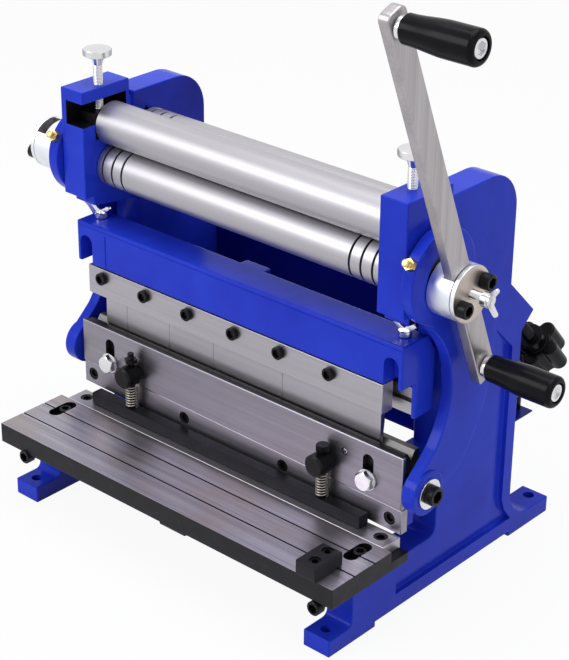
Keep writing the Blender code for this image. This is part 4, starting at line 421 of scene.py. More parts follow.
# Sunk band in each frame's outer face
RECESS_LOW = PAD_HEIGHT + RECESS_RISE
RECESS_FRONT = UPRIGHT_FRONT - RECESS_REACH
RECESS_INNER = PLATE_REAR - RECESS_INNER_INSET
RECESS_OUTER = PLATE_REAR - RECESS_OUTER_INSET
RECESS_CORNER = PLATE_REAR + RECESS_CORNER_REACH
RECESS_TIP_Y = PLATE_REAR - RECESS_TIP_INSET
RECESS_TIP_Z = NOSE_LOW_Z + RECESS_TIP_RISE
RECESS_SHOULDER_Z = NOSE_LOW_Z - RECESS_SHOULDER_DROP

# Places across the machine, from the middle out
ROLL_HALF = WORK_WIDTH / 2 + ROLL_OVER_WIDTH
HEAD_INNER = ROLL_HALF + GAP
PLATE_OUTER = PLATE_INNER + PLATE_THICK
REAR_ROLL_HALF = PLATE_INNER - GAP - REAR_ROLL_PLAY
REAR_SCREW_X = PLATE_INNER + REAR_SCREW_INSET
TABLE_SLOT_X = PLATE_INNER + TABLE_SLOT_INSET
RAM_HALF = HEAD_OUTER - RAM_INSET
NOTCH_INNER = HEAD_INNER + NOTCH_INSET
NOTCH_OUTER = NOTCH_INNER + NOTCH_WIDTH
ARM_OUTER = ARM_INNER + ARM_THICK
HUB_INNER = ARM_OUTER + 2 * GAP
CRANK_UP = Vector((0.0, -math.sin(CRANK_TILT), math.cos(CRANK_TILT)))
GRIP_HIGH_AT = CRANK_TOP - GRIP_HIGH_INSET
GRIP_LOW_AT = CRANK_LOW - GRIP_LOW_INSET

# The sides of the machine; the tables by side above use the same keys
SIDE_NAMES = {-1: "left", 1: "right"}

# Threads, knurls and sockets
THREAD_PITCH = 0.0012
THREAD_DEPTH = 0.0004
THREAD_CREST_SHARES = (0.4, 0.6)
KNURL_DEPTH = 0.0005
SOCKET_SHARE = 1.18
SOCKET_DEPTH_SHARE = 0.62
THUMB_RIM = 0.0098
GRIP_SHAVE = 0.00003
ROD_NUT_RISE = 0.0022
ROD_TIP_RISE = 0.0048
ROD_NUT_SHARE = 1.8
BARREL_NECK_SHARE = 0.8
BARREL_END_SHARE = 0.72
WING_EASE_SHARE = 0.2
COLLAR_END_SHARE = 0.86

# Small fasteners
NUT_ACROSS = 0.0160
NUT_LIFT = 0.0008
NUT_HEIGHT = 0.0080
LOWER_SCREW_X = 0.1660
LOWER_SCREW_Y = -0.0695
LOWER_SCREW = 0.0055
GUIDE_SCREWS = ((0.1627, -0.1435), (0.1612, -0.1275))
GUIDE_SCREW = 0.0044
UNDER_SCREWS = (("left", (-0.1564, 0.0479)), ("right", (0.1689, 0.0453)))
UNDER_SCREW = 0.0060
UNDER_SCREW_LENGTH = 0.0080
UNDER_SHANK = 0.0040
UNDER_SEAT = -0.1450
BLADE_SCREWS = (-0.1670, -0.0562, 0.0549, 0.1661)
BLADE_SCREW = 0.0053
APRON_HOLE = (0.1201, 0.1234)
APRON_HOLE_RADIUS = 0.0034
CLAMP_SCREW_HEAD = 0.0054
CLAMP_SCREW_HEIGHT = 0.0038
HUB_SCREW_ANGLES = (math.radians(26), math.radians(206))
HUB_SCREW_REACH = 0.0150
HUB_SCREW = 0.0064
HUB_SCREW_HEIGHT = 0.0078
NIPPLE_ACROSS = 0.0085
NIPPLE_HEX = 0.0050
NIPPLE_TIP = 0.0052
NIPPLE_ROOT_SHARE = 0.36
NIPPLE_SHARES = ((0.25, 0.27), (0.5, 0.27), (0.8, 0.36), (1.0, 0.2))
NIPPLE_TILT = math.radians(60)
POST_X = 0.1385
POST_Y = 0.1455
POST_RADIUS = 0.0042
POST_HEIGHT = 0.0110

# Cast rib and line on the front of the beam
BEAM_RIB_X = -0.1430
BEAM_RIB_HALF = 0.0009
BEAM_RIB_RISE = 0.0006
BEAM_LINE_DROP = 0.0032
BEAM_LINE = 0.0005

# Camera that was solved from the photograph
SENSOR = 36.0
LENS = 105.07
SHIFT_X = 0.01294
SHIFT_Y = -0.00167
CAMERA_PLACE = (0.9316, -1.0715, 0.8797)
CAMERA_TURN = 0.729
CAMERA_PITCH = math.radians(26.55)
CAMERA_ROLL = 0.0082

# Studio: a floor, a white surround and soft lamps as (name, place, size, power)
FLOOR = 12.0
FLOOR_GLOW = 0.93
FLOOR_COLOR = (0.86, 0.86, 0.87, 1.0)
WHITE = (1.0, 1.0, 1.0, 1.0)
WORLD_LIGHT = 0.36
LAMP_TARGET = Vector((0.0, 0.0, 0.2))
LAMPS = (("key", (-1.1, -1.9, 1.5), 1.2, 25.0),
         ("overhead", (0.1, 0.1, 2.1), 1.6, 26.0),
         ("fill", (2.0, -0.3, 0.9), 1.2, 2.0))

# Colours of the paint; the third is the blue darkened to painted shade on the frames' inner
# faces, the fourth a navy of deep painted shade behind the rolls
BLUE = (0.020, 0.052, 0.660)
BLUE_DEEP = (0.014, 0.034, 0.520)
BLUE_PAINTED_SHADE = (0.008, 0.014, 0.280)
NAVY_PAINTED_SHADE = (0.003, 0.006, 0.180)


# Outlines, as points in two coordinates

def on_circle(centre_a, centre_b, radius, angle):
    """Return the point of a circle at an angle in radians."""
    return (centre_a + radius * math.cos(angle), centre_b + radius * math.sin(angle))


def circle(centre_a, centre_b, radius, sides):
    """Return the points of a circle."""
    return [on_circle(centre_a, centre_b, radius, 2 * math.pi * (index + 0.5) / sides)
            for index in range(sides)]


def arc(centre_a, centre_b, radius, start, end, steps=ARC_STEPS):
    """Return points along an arc between two angles in degrees."""
    return [on_circle(centre_a, centre_b, radius,
                      math.radians(start + (end - start) * index / steps))
            for index in range(steps + 1)]


def arc_through(first, middle, last, steps):
    """Return points along the arc that runs through three points."""
    first, middle, last = Vector(first), Vector(middle), Vector(last)
    span_one = middle - first
    span_two = last - first
    cross = 2 * (span_one.x * span_two.y - span_one.y * span_two.x)
    off_x = (span_two.y * span_one.length_squared
             - span_one.y * span_two.length_squared) / cross
    off_y = (span_one.x * span_two.length_squared
             - span_two.x * span_one.length_squared) / cross
    centre = first + Vector((off_x, off_y))
    radius = (first - centre).length
    start = math.atan2(first.y - centre.y, first.x - centre.x)
    sweep = math.atan2(last.y - centre.y, last.x - centre.x) - start
    if cross > 0:
        sweep %= 2 * math.pi
    else:
        sweep = -((-sweep) % (2 * math.pi))
    return [on_circle(centre.x, centre.y, radius, start + sweep * index / steps)
            for index in range(steps + 1)]


def slot_outline(centre_a, low_b, high_b, radius):
    """Return an upright slot with round ends about two centres."""
    return arc(centre_a, high_b, radius, 0, 180) + arc(centre_a, low_b, radius, 180, 360)


def flipped(outline, side):
    """Return an (x, z) outline on the chosen side."""
    return [(side * a, b) for a, b in outline]


# Meshes in the machine's own axes

def axis_point(axis, along, first, second):
    """Return a 3D point from a place along an axis and its two cross coordinates."""
    if axis == "X":
        return (along, first, second)
    if axis == "Y":
        return (first, along, second)
    return (first, second, along)


def finish_mesh(bm):
    """Turn a closed bmesh into a mesh with outward faces."""
    bmesh.ops.recalc_face_normals(bm, faces=bm.faces[:])
    mesh = bpy.data.meshes.new("shape")
    bm.to_mesh(mesh)
    bm.free()
    return mesh


def prism(outline, axis, low, high):
    """Extrude an outline along X (y, z), Y (x, z) or Z (x, y)."""
    bm = bmesh.new()
    lower = [bm.verts.new(axis_point(axis, low, a, b)) for a, b in outline]
    upper = [bm.verts.new(axis_point(axis, high, a, b)) for a, b in outline]
    bm.faces.new(lower)
    bm.faces.new(upper)
    for index in range(len(outline)):
        after = (index + 1) % len(outline)
        bm.faces.new((lower[index], lower[after], upper[after], upper[index]))
    return finish_mesh(bm)


def block(low, high):
    """Return a box between two corners."""
    outline = [(low[1], low[2]), (high[1], low[2]), (high[1], high[2]), (low[1], high[2])]
    return prism(outline, "X", low[0], high[0])


def rod(axis, centre, radius, low, high, sides=ROUND_SIDES):
    """Return a round bar along an axis."""
    return prism(circle(centre[0], centre[1], radius, sides), axis, low, high)


def pin(axis, centre, radius, low, high):
    """Return a slim round bar, for a shank or for the hole that it runs in."""
    return rod(axis, centre, radius, low, high, SCREW_SIDES)


def turned(axis, centre, profile, sides=ROUND_SIDES, ripple=0.0):
    """Turn a profile of (along, radius); a row with a third value is rippled."""
    bm = bmesh.new()
    rings = []
    for row in profile:
        ring = []
        for index, (a, b) in enumerate(circle(0.0, 0.0, 1.0, sides)):
            radius = row[1]
            if len(row) > 2 and index % 2:
                radius -= ripple
            point = axis_point(axis, row[0], centre[0] + a * radius, centre[1] + b * radius)
            ring.append(bm.verts.new(point))
        rings.append(ring)
    for one, two in zip(rings, rings[1:]):
        for index in range(sides):
            after = (index + 1) % sides
            bm.faces.new((one[index], one[after], two[after], two[index]))
    bm.faces.new(rings[0])
    bm.faces.new(rings[-1])
    return finish_mesh(bm)


def hex_bar(axis, centre, across, low, high):
    """Return a hexagonal bar; across is the size over its flats."""
    return prism(circle(centre[0], centre[1], across / math.sqrt(3), 6), axis, low, high)


def eased(mesh, width, segments=2, limit=EDGE_LIMIT):
    """Round the edges of a mesh where its faces turn by more than the limit."""
    bm = bmesh.new()
    bm.from_mesh(mesh)
    bm.normal_update()
    edges = [edge for edge in bm.edges
             if len(edge.link_faces) == 2 and edge.calc_face_angle(0.0) > limit]
    bmesh.ops.bevel(bm, geom=edges, offset=width, segments=segments, profile=0.5,
                    affect="EDGES", clamp_overlap=True)
    bm.to_mesh(mesh)
    bm.free()
    return mesh


def cast(mesh, width=CAST_EDGE):
    """Round the edges of a casting widely."""
    return eased(mesh, width, CAST_SEGMENTS)


def ground(mesh, width=GAP):
    """Break the edges of a ground bar or plate."""
    return eased(mesh, width, 1)


def carved(mesh, joins=(), cuts=()):
    """Join meshes on and cut meshes out, and return the result as one mesh."""
    work = bpy.data.objects.new("work", mesh)
    bpy.context.collection.objects.link(work)
    tools = []
    for operation, shapes in (("UNION", joins), ("DIFFERENCE", cuts)):
        for shape in shapes:
            tool = bpy.data.objects.new("tool", shape)
            bpy.context.collection.objects.link(tool)
            tools.append(tool)
            step = work.modifiers.new("step", "BOOLEAN")
            step.operation = operation
            step.solver = "EXACT"
            step.object = tool
    graph = bpy.context.evaluated_depsgraph_get()
    result = bpy.data.meshes.new_from_object(work.evaluated_get(graph))
    for item in [work] + tools:
        bpy.data.objects.remove(item, do_unlink=True)
    return result


def cut(mesh, *cuts):
    """Cut meshes out of a mesh."""
    return carved(mesh, (), cuts)


def mirrored(side, low, high):
    """Return an X interval on one side of the machine, lowest value first."""
    return (low, high) if side > 0 else (-high, -low)


def prism_side(outline, side, low, high):
    """Extrude a (y, z) outline between two distances from the middle."""
    first, last = mirrored(side, low, high)
    return prism(outline, "X", first, last)


def block_side(side, low, high):
    """Return a box on one side; the x of both corners is a distance from the middle."""
    first, last = mirrored(side, low[0], high[0])
    return block((first, low[1], low[2]), (last, high[1], high[2]))


def rod_side(side, centre, radius, low, high, sides=ROUND_SIDES):
    """Return a round bar along X on one side of the machine."""
    first, last = mirrored(side, low, high)
    return rod("X", centre, radius, first, last, sides)


def along_adjuster(mesh):
    """Move a mesh drawn along local Z onto the axis that runs down the rear adjuster."""
    turn = Matrix.Rotation(-math.pi / 2 - REAR_TILT, 4, "X")
    mesh.transform(Matrix.Translation((0.0, REAR_Y, REAR_Z)) @ turn)
    return mesh


def turned_to_crank(mesh):
    """Turn a mesh drawn with the crank upright to the crank's resting tilt."""
    centre = Vector((0.0, SHAFT_Y, SHAFT_Z))
    turn = Matrix.Rotation(CRANK_TILT, 4, "X")
    mesh.transform(Matrix.Translation(centre) @ turn @ Matrix.Translation(-centre))
    return mesh


def joined(*meshes):
    """Put several meshes that do not touch into one mesh."""
    bm = bmesh.new()
    for mesh in meshes:
        bm.from_mesh(mesh)
    result = bpy.data.meshes.new("shape")
    bm.to_mesh(result)
    bm.free()
    return result


# Pieces of the scene

def add_piece(name, mesh, body, slot, *mats):
    """Link a mesh drawn in machine coordinates as one piece that rides on a body."""
    while len(mesh.materials) < len(mats):
        mesh.materials.append(None)
    for index, mat in enumerate(mats):
        mesh.materials[index] = mat
    mesh.transform(Matrix.Translation(OFFSET))
    mesh.shade_smooth()
    mesh.set_sharp_from_angle(angle=SHARP_ANGLE)
    obj = bpy.data.objects.new(name, mesh)
    bpy.context.collection.objects.link(obj)
    weights = obj.modifiers.new("normals", "WEIGHTED_NORMAL")
    weights.keep_sharp = True
    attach(obj, body)
    return obj


def stand_in(node, mesh, *mats):
    """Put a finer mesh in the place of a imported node."""
    obj = add_piece(f"{node}_form", mesh, BODY_OF[node], SLOT_OF[node], *mats)
    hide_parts(node)
    return obj


def add_black(name, mesh, body):
    """Link a screw or another small black piece."""
    return add_piece(name, mesh, body, "black_oxide", BLACK_MAT)


def assign_faces(mesh, index, test):
    """Give the faces that pass the test, by centre and normal, a material index."""
    for face in mesh.polygons:
        if test(face.center, face.normal):
            face.material_index = index
    return mesh


# Materials

class Nodes:
    """A short way to write one material's node tree."""

    def __init__(self, name, color, roughness, metallic):
        self.mat = bpy.data.materials.new(name)
        self.mat.use_nodes = True
        self.tree = self.mat.node_tree
        self.shader = self.tree.nodes["Principled BSDF"]
        self.shader.inputs["Base Color"].default_value = (*color, 1.0)
        self.shader.inputs["Roughness"].default_value = roughness
        self.shader.inputs["Metallic"].default_value = metallic
        self.mat.diffuse_color = (*color, 1.0)
        self.place = self.tree.nodes.new("ShaderNodeTexCoord").outputs["Object"]

    def add(self, kind, links=(), **values):
        """Add a node, set its inputs by name and link sources into it."""
        node = self.tree.nodes.new(kind)
        for key, value in values.items():
            node.inputs[key.replace("_", " ")].default_value = value
        for key, source in links:
            self.tree.links.new(source, node.inputs[key])
        return node

    def noise(self, scale, detail=3.0, rough=0.6, stretch=(1.0, 1.0, 1.0)):
        """Return the value of noise, which can be stretched along the axes."""
        mapping = self.add("ShaderNodeMapping", [("Vector", self.place)], Scale=stretch)
        node = self.add("ShaderNodeTexNoise", [("Vector", mapping.outputs["Vector"])],
                        Scale=scale, Detail=detail, Roughness=rough)
        return node.outputs["Fac"]

    def spread(self, source, low, high, from_low=0.3, from_high=0.7):
        """Map a value from its middle range onto low to high."""
        node = self.add("ShaderNodeMapRange", [("Value", source)], From_Min=from_low,
                        From_Max=from_high, To_Min=low, To_Max=high)
        return node.outputs["Result"]

    def blend_colors(self, source, one, two):
        """Return a colour that runs with the source between two colours or sockets."""
        node = self.tree.nodes.new("ShaderNodeMix")
        node.data_type = "RGBA"
        self.tree.links.new(source, node.inputs["Factor"])
        for socket, value in zip(node.inputs[6:8], (one, two)):
            if isinstance(value, tuple):
                socket.default_value = (*value, 1.0)
            else:
                self.tree.links.new(value, socket)
        return node.outputs[2]

    def color(self, source):
        """Drive the base colour."""
        self.tree.links.new(source, self.shader.inputs["Base Color"])

    def roughness(self, source):
        """Drive the roughness."""
        self.tree.links.new(source, self.shader.inputs["Roughness"])

    def gloss(self, level):
        """Set how strongly the surface reflects head on."""
        self.shader.inputs["Specular IOR Level"].default_value = level

    def bump(self, source, depth, strength, under=None):
        """Add a bump, over another one where given, and return its normal."""
        node = self.add("ShaderNodeBump", [("Height", source)], Strength=strength,
                        Distance=depth)
        if under is not None:
            self.tree.links.new(under, node.inputs["Normal"])
        self.tree.links.new(node.outputs["Normal"], self.shader.inputs["Normal"])
        return node.outputs["Normal"]


def blue_paint(name, color, deep):
    """Thick glossy enamel on a casting, with a faint orange peel over cast waves."""
    m = Nodes(name, color, 0.30, 0.0)
    m.color(m.blend_colors(m.spread(m.noise(14.0), 0.0, 1.0), color, deep))
    m.roughness(m.spread(m.noise(60.0), 0.16, 0.26))
    peel = m.bump(m.noise(420.0, 2.0), 0.00006, 0.5)
    m.bump(m.noise(75.0), 0.00035, 0.5, peel)
    m.gloss(0.09)
    return m.mat


def lined_metal(name, dark, pale, along, rough, depth, blotch=None):
    """Ground metal with fine marks that run along one axis, blotched where asked."""
    m = Nodes(name, pale, sum(rough) / 2, 1.0)
    stretch = {"X": (0.012, 1.0, 1.0), "Z": (1.0, 1.0, 0.012)}[along]
    lines = m.noise(900.0, 4.0, 0.65, stretch)
    broad = m.noise(140.0, 2.0, 0.6, stretch)
    tint = m.add("ShaderNodeMath", [(0, lines), (1, broad)])
    tint.operation = "ADD"
    tone = m.spread(tint.outputs[0], 0.0, 1.0, 0.75, 1.25)
    base = m.blend_colors(tone, dark, pale)
    if blotch is not None:
        cloud = m.noise(22.0, 4.0, 0.6, (0.5, 1.0, 1.0))
        base = m.blend_colors(m.spread(cloud, 0.0, 0.75, 0.42, 0.72), base, blotch)
    m.color(base)
    m.roughness(m.spread(lines, *rough))
    m.bump(lines, depth, 0.6)
    return m.mat


def bright_metal(name, color, rough):
    """Plated or polished metal with faint smears and a fine grain."""
    m = Nodes(name, color, rough, 1.0)
    smear = m.noise(55.0, 4.0)
    m.roughness(m.spread(smear, 0.7 * rough, 1.4 * rough))
    m.color(m.blend_colors(m.spread(smear, 0.0, 1.0), color, tuple(0.86 * c for c in color)))
    m.bump(m.noise(700.0, 2.0), 0.00002, 0.5)
    return m.mat


def dark_finish(name, color, worn, rough, metallic, grain):
    """Blackened or dark painted metal, with a fine grain and a few worn spots."""
    m = Nodes(name, color, rough, metallic)
    spots = m.spread(m.noise(130.0, 5.0, 0.7), 0.0, 1.0, 0.58, 0.78)
    m.color(m.blend_colors(spots, color, worn))
    m.roughness(m.spread(m.noise(90.0), 0.85 * rough, 1.2 * rough))
    m.bump(m.noise(480.0), grain, 0.6)
    m.gloss(0.25)
    return m.mat


def glossy_plastic():
    """Polished black grip plastic with soft handling marks."""
    m = Nodes("black_grip_plastic", (0.005, 0.005, 0.006), 0.22, 0.0)
    smear = m.noise(38.0, 4.0)
    m.roughness(m.spread(smear, 0.18, 0.30))
    m.color(m.blend_colors(m.spread(smear, 0.0, 1.0), (0.004, 0.004, 0.005),
                           (0.008, 0.008, 0.010)))
    m.bump(m.noise(160.0, 2.0), 0.00005, 0.4)
    m.gloss(0.08)
    return m.mat


BLUE_MAT = blue_paint("blue_paint_coat", BLUE, BLUE_DEEP)
# Painted shade: the frames' inner faces behind the uprights take this darker blue for the shade
# they lie in
PAINTED_SHADE_MAT = blue_paint("blue_paint_painted_shade", BLUE_DEEP, BLUE_PAINTED_SHADE)
# Painted shade: blue paint darkened to navy for the shelf and its wall behind the rolls, for
# the deep shade they lie in
WALL_SHADE_MAT = blue_paint("navy_paint_painted_shade", NAVY_PAINTED_SHADE, NAVY_PAINTED_SHADE)
ROLL_MAT = lined_metal("ground_roll_steel", (0.42, 0.41, 0.44), (0.46, 0.45, 0.48), "X",
                       (0.42, 0.46), 0.000002)
PLATE_MAT = lined_metal("ground_plate_steel", (0.38, 0.365, 0.400), (0.44, 0.425, 0.460), "X",
                        (0.34, 0.42), 0.00001)
APRON_MAT = lined_metal("ground_apron_steel", (0.240, 0.225, 0.265), (0.300, 0.285, 0.330), "X",
                        (0.34, 0.42), 0.00001)
# Painted shade: steel darkened for the V groove, which lies in shade between the apron and the
# fingers
VEE_SHADE_MAT = lined_metal("vee_steel_painted_shade", (0.15, 0.145, 0.145), (0.19, 0.185, 0.185), "X",
                      (0.45, 0.55), 0.00001)
TABLE_MAT = lined_metal("ground_table_iron", (0.26, 0.24, 0.28), (0.48, 0.46, 0.53), "X",
                        (0.30, 0.44), 0.00004, (0.33, 0.27, 0.24))
CRANK_MAT = lined_metal("brushed_crank_nickel", (0.36, 0.335, 0.345), (0.46, 0.44, 0.46), "Z",
                        (0.32, 0.38), 0.000006)
IRON_MAT = dark_finish("dark_iron_paint", (0.009, 0.009, 0.013), (0.028, 0.027, 0.034),
                       0.42, 0.3, 0.00008)
BLACK_MAT = dark_finish("black_oxide_steel", (0.010, 0.010, 0.012), (0.034, 0.033, 0.036),
                        0.34, 0.6, 0.00003)
GRIP_MAT = glossy_plastic()
ZINC_MAT = bright_metal("bright_zinc_plate", (0.78, 0.78, 0.80), 0.22)
CHROME_MAT = bright_metal("satin_chrome", (0.86, 0.88, 0.94), 0.40)
DISC_MAT = bright_metal("satin_disc_face", (0.62, 0.54, 0.49), 0.38)
SPRING_MAT = bright_metal("spring_wire", (0.44, 0.41, 0.36), 0.30)
BRASS_MAT = bright_metal("aged_brass", (0.72, 0.52, 0.22), 0.30)
BRONZE_MAT = bright_metal("bearing_bronze", (0.55, 0.34, 0.18), 0.35)


# Side frames

def plate_outline():
    """Return the side view (y, z) of a frame's plate with its feet."""
    pad_front = FOOT_FRONT + PAD_LENGTH
    pad_rear = FOOT_REAR - PAD_LENGTH
    return ([(FOOT_FRONT, 0.0), (FOOT_FRONT, PAD_HEIGHT)]
            + arc(SUPPORT_FRONT - FRONT_FILLET, PAD_HEIGHT + FRONT_FILLET, FRONT_FILLET,
                  270, 360, FILLET_STEPS)
            + [(SUPPORT_FRONT, SUPPORT_TOP)]
            + arc(UPRIGHT_FRONT - THROAT_FILLET, SUPPORT_TOP + THROAT_FILLET, THROAT_FILLET,
                  270, 360, FILLET_STEPS)
            + [(UPRIGHT_FRONT, PLATE_TOP)]
            + arc(TOP_REAR_Y - TOP_RADIUS, PLATE_TOP - TOP_RADIUS, TOP_RADIUS,
                  90, 0, WIDE_STEPS)
            + [(TOP_REAR_Y, NOSE_TOP_Z),
               (PLATE_REAR + NOSE_RUN_Y, NOSE_LOW_Z + NOSE_RUN_Z),
               (PLATE_REAR, NOSE_LOW_Z)]
            + arc(PLATE_REAR + REAR_FLARE, PAD_HEIGHT + REAR_FLARE, REAR_FLARE,
                  180, 270, WIDE_STEPS)
            + [(FOOT_REAR, PAD_HEIGHT), (FOOT_REAR, 0.0),
               (pad_rear, 0.0), (pad_rear, ARCH_HEIGHT),
               (pad_front, ARCH_HEIGHT), (pad_front, 0.0)])


def recess_outline():
    """Return the bent band (y, z) that is sunk into a frame's outer face."""
    high = RECESS_LOW + RECESS_BAND
    return [(RECESS_FRONT, RECESS_LOW), (RECESS_CORNER, RECESS_LOW),
            (RECESS_OUTER + RECESS_DEPTH, high), (RECESS_OUTER, high + RECESS_BAND),
            (RECESS_OUTER, RECESS_SHOULDER_Z), (RECESS_TIP_Y, RECESS_TIP_Z),
            (RECESS_INNER, RECESS_TIP_Z - RECESS_BAND), (RECESS_INNER, high),
            (RECESS_FRONT, high)]


def head_outline():
    """Return the head block's side view (y, z), reaching a little into the plate."""
    back = HEAD_BACK + CUT_OVER
    low = PLATE_TOP - CUT_OVER
    return [(HEAD_FRONT, HEAD_BOTTOM), (back, HEAD_BOTTOM), (back, low), (HEAD_BACK, low),
            (HEAD_BACK, HEAD_TOP), (HEAD_FRONT, HEAD_TOP)]


def corbel_outline():
    """Return the tapering step (y, z) under the head block."""
    back = UPRIGHT_FRONT + CUT_OVER
    high = HEAD_BOTTOM + CUT_OVER
    return [(CORBEL_FRONT, high), (CORBEL_FRONT, HEAD_BOTTOM - CORBEL_DROP),
            (back, HEAD_BOTTOM - CORBEL_REAR_DROP), (back, high)]


def hook_outline(low, room):
    """Return a round-topped shape (x, z) as wide as the beam's notch, less some room."""
    half = (NOTCH_OUTER - NOTCH_INNER) / 2 - room
    centre = (NOTCH_OUTER + NOTCH_INNER) / 2
    return ([(centre - half, low), (centre + half, low)]
            + arc(centre, NOTCH_CROWN - room - half, half, 0, 180))


def frame_cuts(side):
    """Return the hollows of a side frame."""
    inner = min(PLATE_INNER, HEAD_INNER) - CUT_OVER
    outer = HEAD_OUTER + CUT_OVER
    slot_end = HEAD_INNER + BLOCK_LENGTH[side] + 2 * GAP
    slot_front = SHAFT_Y - BLOCK_HALF - GAP
    recess = prism_side(recess_outline(), side, PLATE_OUTER - RECESS_DEPTH, outer)
    cuts = [eased(recess, RECESS_DEPTH / 2, CAST_SEGMENTS),
            block_side(side, (inner, slot_front, BLOCK_BOTTOM - GAP),
                       (slot_end, SHAFT_Y + BLOCK_HALF + GAP, SLOT_TOP))]
    for place in (FOOT_HOLE_FRONT, FOOT_HOLE_REAR):
        middle = side * (PLATE_INNER + PLATE_OUTER) / 2
        cuts.append(rod("Z", (middle, place), FOOT_HOLE, -CUT_OVER, PAD_HEIGHT + CUT_OVER))
    cuts.append(rod("Z", (side * THUMB_X, THUMB_Y), THUMB_SHANK + GAP,
                    SLOT_TOP - CUT_OVER, HEAD_TOP + CUT_OVER))
    axis = (SHAFT_Y, SHAFT_Z)
    if side < 0:
        cuts += [block_side(side, (inner, HEAD_FRONT - CUT_OVER, UPPER_Z + WINDOW_SILL),
                            (slot_end, slot_front + CUT_OVER, SLOT_TOP)),
                 rod_side(side, axis, BUSH_OUTER + GAP, inner, outer)]
    else:
        pocket_low = HEAD_BOTTOM - CORBEL_REAR_DROP - CUT_OVER
        pocket_top = UPPER_Z + GEAR_TIP + ROLL_LIFT + GEAR_ROOM
        cuts += [block_side(side, (slot_end, SHAFT_Y - POCKET_HALF, pocket_low),
                            (GEAR_OUTER + 2 * GAP, SHAFT_Y + POCKET_HALF, pocket_top)),
                 rod_side(side, axis, BUSH_OUTER + GAP, inner, slot_end + CUT_OVER / 2),
                 rod_side(side, axis, MAIN_JOURNAL + SHAFT_ROOM, GEAR_OUTER, outer)]
    half = REAR_BLOCK_HALF + GAP
    first, last = mirrored(side, inner, PLATE_INNER + REAR_BLOCK_LENGTH + 2 * GAP)
    way = block((first, -half, -half - REAR_TRAVEL_IN), (last, half, half + REAR_TRAVEL_OUT))
    bore = rod("Z", (side * REAR_SCREW_X, 0.0), REAR_SCREW + GAP,
               REAR_BLOCK_HALF + REAR_TRAVEL_OUT, NOSE_REACH + CUT_OVER)
    table_bore = rod("Z", (side * TABLE_SLOT_X, TABLE_SCREW_Y), TABLE_BORE_RADIUS,
                     SUPPORT_TOP - TABLE_THICK, SUPPORT_TOP + CUT_OVER)
    return cuts + [along_adjuster(way), along_adjuster(bore), table_bore]


def in_block_slot(side, centre):
    """Tell whether a face lies in a bearing slot or in the window before it."""
    within = HEAD_INNER + EDGE < abs(centre.x) < HEAD_INNER + BLOCK_LENGTH[side] + 3 * GAP
    slot = (abs(centre.y - SHAFT_Y) < BLOCK_HALF + 2 * GAP
            and BLOCK_BOTTOM - 2 * GAP < centre.z < SLOT_TOP + GAP)
    window = (side < 0 and HEAD_FRONT + GAP < centre.y < SHAFT_Y
              and UPPER_Z + WINDOW_SILL - GAP < centre.z < SLOT_TOP + GAP)
    return within and (slot or window)


def build_frames():
    """Make both cast side frames with eased edges, and the lock nuts on their noses."""
    for side, word in SIDE_NAMES.items():
        plate = cast(prism_side(plate_outline(), side, PLATE_INNER, PLATE_OUTER))
        head = cast(prism_side(head_outline(), side, HEAD_INNER, HEAD_OUTER))
        corbel = cast(prism_side(corbel_outline(), side, HEAD_INNER, PLATE_OUTER - GAP))
        lug = eased(prism(flipped(hook_outline(LUG_LOW, GAP), side), "Y", LUG_FRONT,
                          UPRIGHT_FRONT + CUT_OVER), EDGE)
        mesh = carved(plate, [head, corbel, lug], frame_cuts(side))
        # The inner faces behind the upright take the darker blue, painted shade
        assign_faces(mesh, 1, lambda centre, normal: -side * normal.x > 0.9
                     and centre.y > UPRIGHT_FRONT)
        # Faces in the bearing slot and the window take black: painted shade of the recess
        assign_faces(mesh, 2, lambda centre, normal: in_block_slot(side, centre))
        stand_in(f"{word}_frame", mesh, BLUE_MAT, PAINTED_SHADE_MAT, BLACK_MAT)
        place = (side * REAR_SCREW_X, 0.0)
        low = NOSE_REACH + NUT_LIFT
        nut = cut(eased(hex_bar("Z", place, NUT_ACROSS, low, low + NUT_HEIGHT), EDGE),
                  rod("Z", place, REAR_SCREW + GAP, 0.0, KNOB_END))
        add_piece(f"{word}_lock_nut", along_adjuster(nut), "frame", "bright_chrome", ZINC_MAT)


# Rolls, bearings and gears

def groove(centre):
    """Return the profile points of one wire groove, round at its bottom."""
    angles = [math.pi * step / GROOVE_STEPS for step in range(GROOVE_STEPS + 1)]
    return [(centre - GROOVE_HALF * math.cos(angle),
             ROLL_RADIUS - GROOVE_DEPTH * math.sin(angle)) for angle in angles]


def build_roll(node, axis, half, journal, left, right, grooved=True):
    """Make one roll, which runs from left to right with its body between journals."""
    profile = [(left, journal), (-half, journal), (-half, ROLL_RADIUS - ROLL_EDGE),
               (ROLL_EDGE - half, ROLL_RADIUS)]
    mats = [ROLL_MAT]
    if grooved:
        for index in range(GROOVES):
            profile += groove(-half + GROOVE_FIRST_LEFT + index * GROOVE_PITCH)
        for index in reversed(range(GROOVES)):
            profile += groove(half - GROOVE_FIRST_RIGHT - index * GROOVE_PITCH)
        mats.append(IRON_MAT)
    profile += [(half - ROLL_EDGE, ROLL_RADIUS), (half, ROLL_RADIUS - ROLL_EDGE),
                (half, journal), (right, journal)]
    mesh = turned("X", axis, profile, ROLL_SIDES)
    # The faces of the wire grooves take dark iron: painted shade in the grooves
    assign_faces(mesh, len(mats) - 1, lambda centre, normal: (
        abs(centre.x) < half - 2 * ROLL_EDGE
        and math.hypot(centre.y - axis[0], centre.z - axis[1]) < ROLL_RADIUS - GAP))
    stand_in(node, mesh, *mats)


def crank_slot(side):
    """Return the X interval, from the middle, of a hub's cross slot."""
    end = HUB_INNER + HUB_LENGTH[side]
    return end - CRANK_THICK - GAP, end


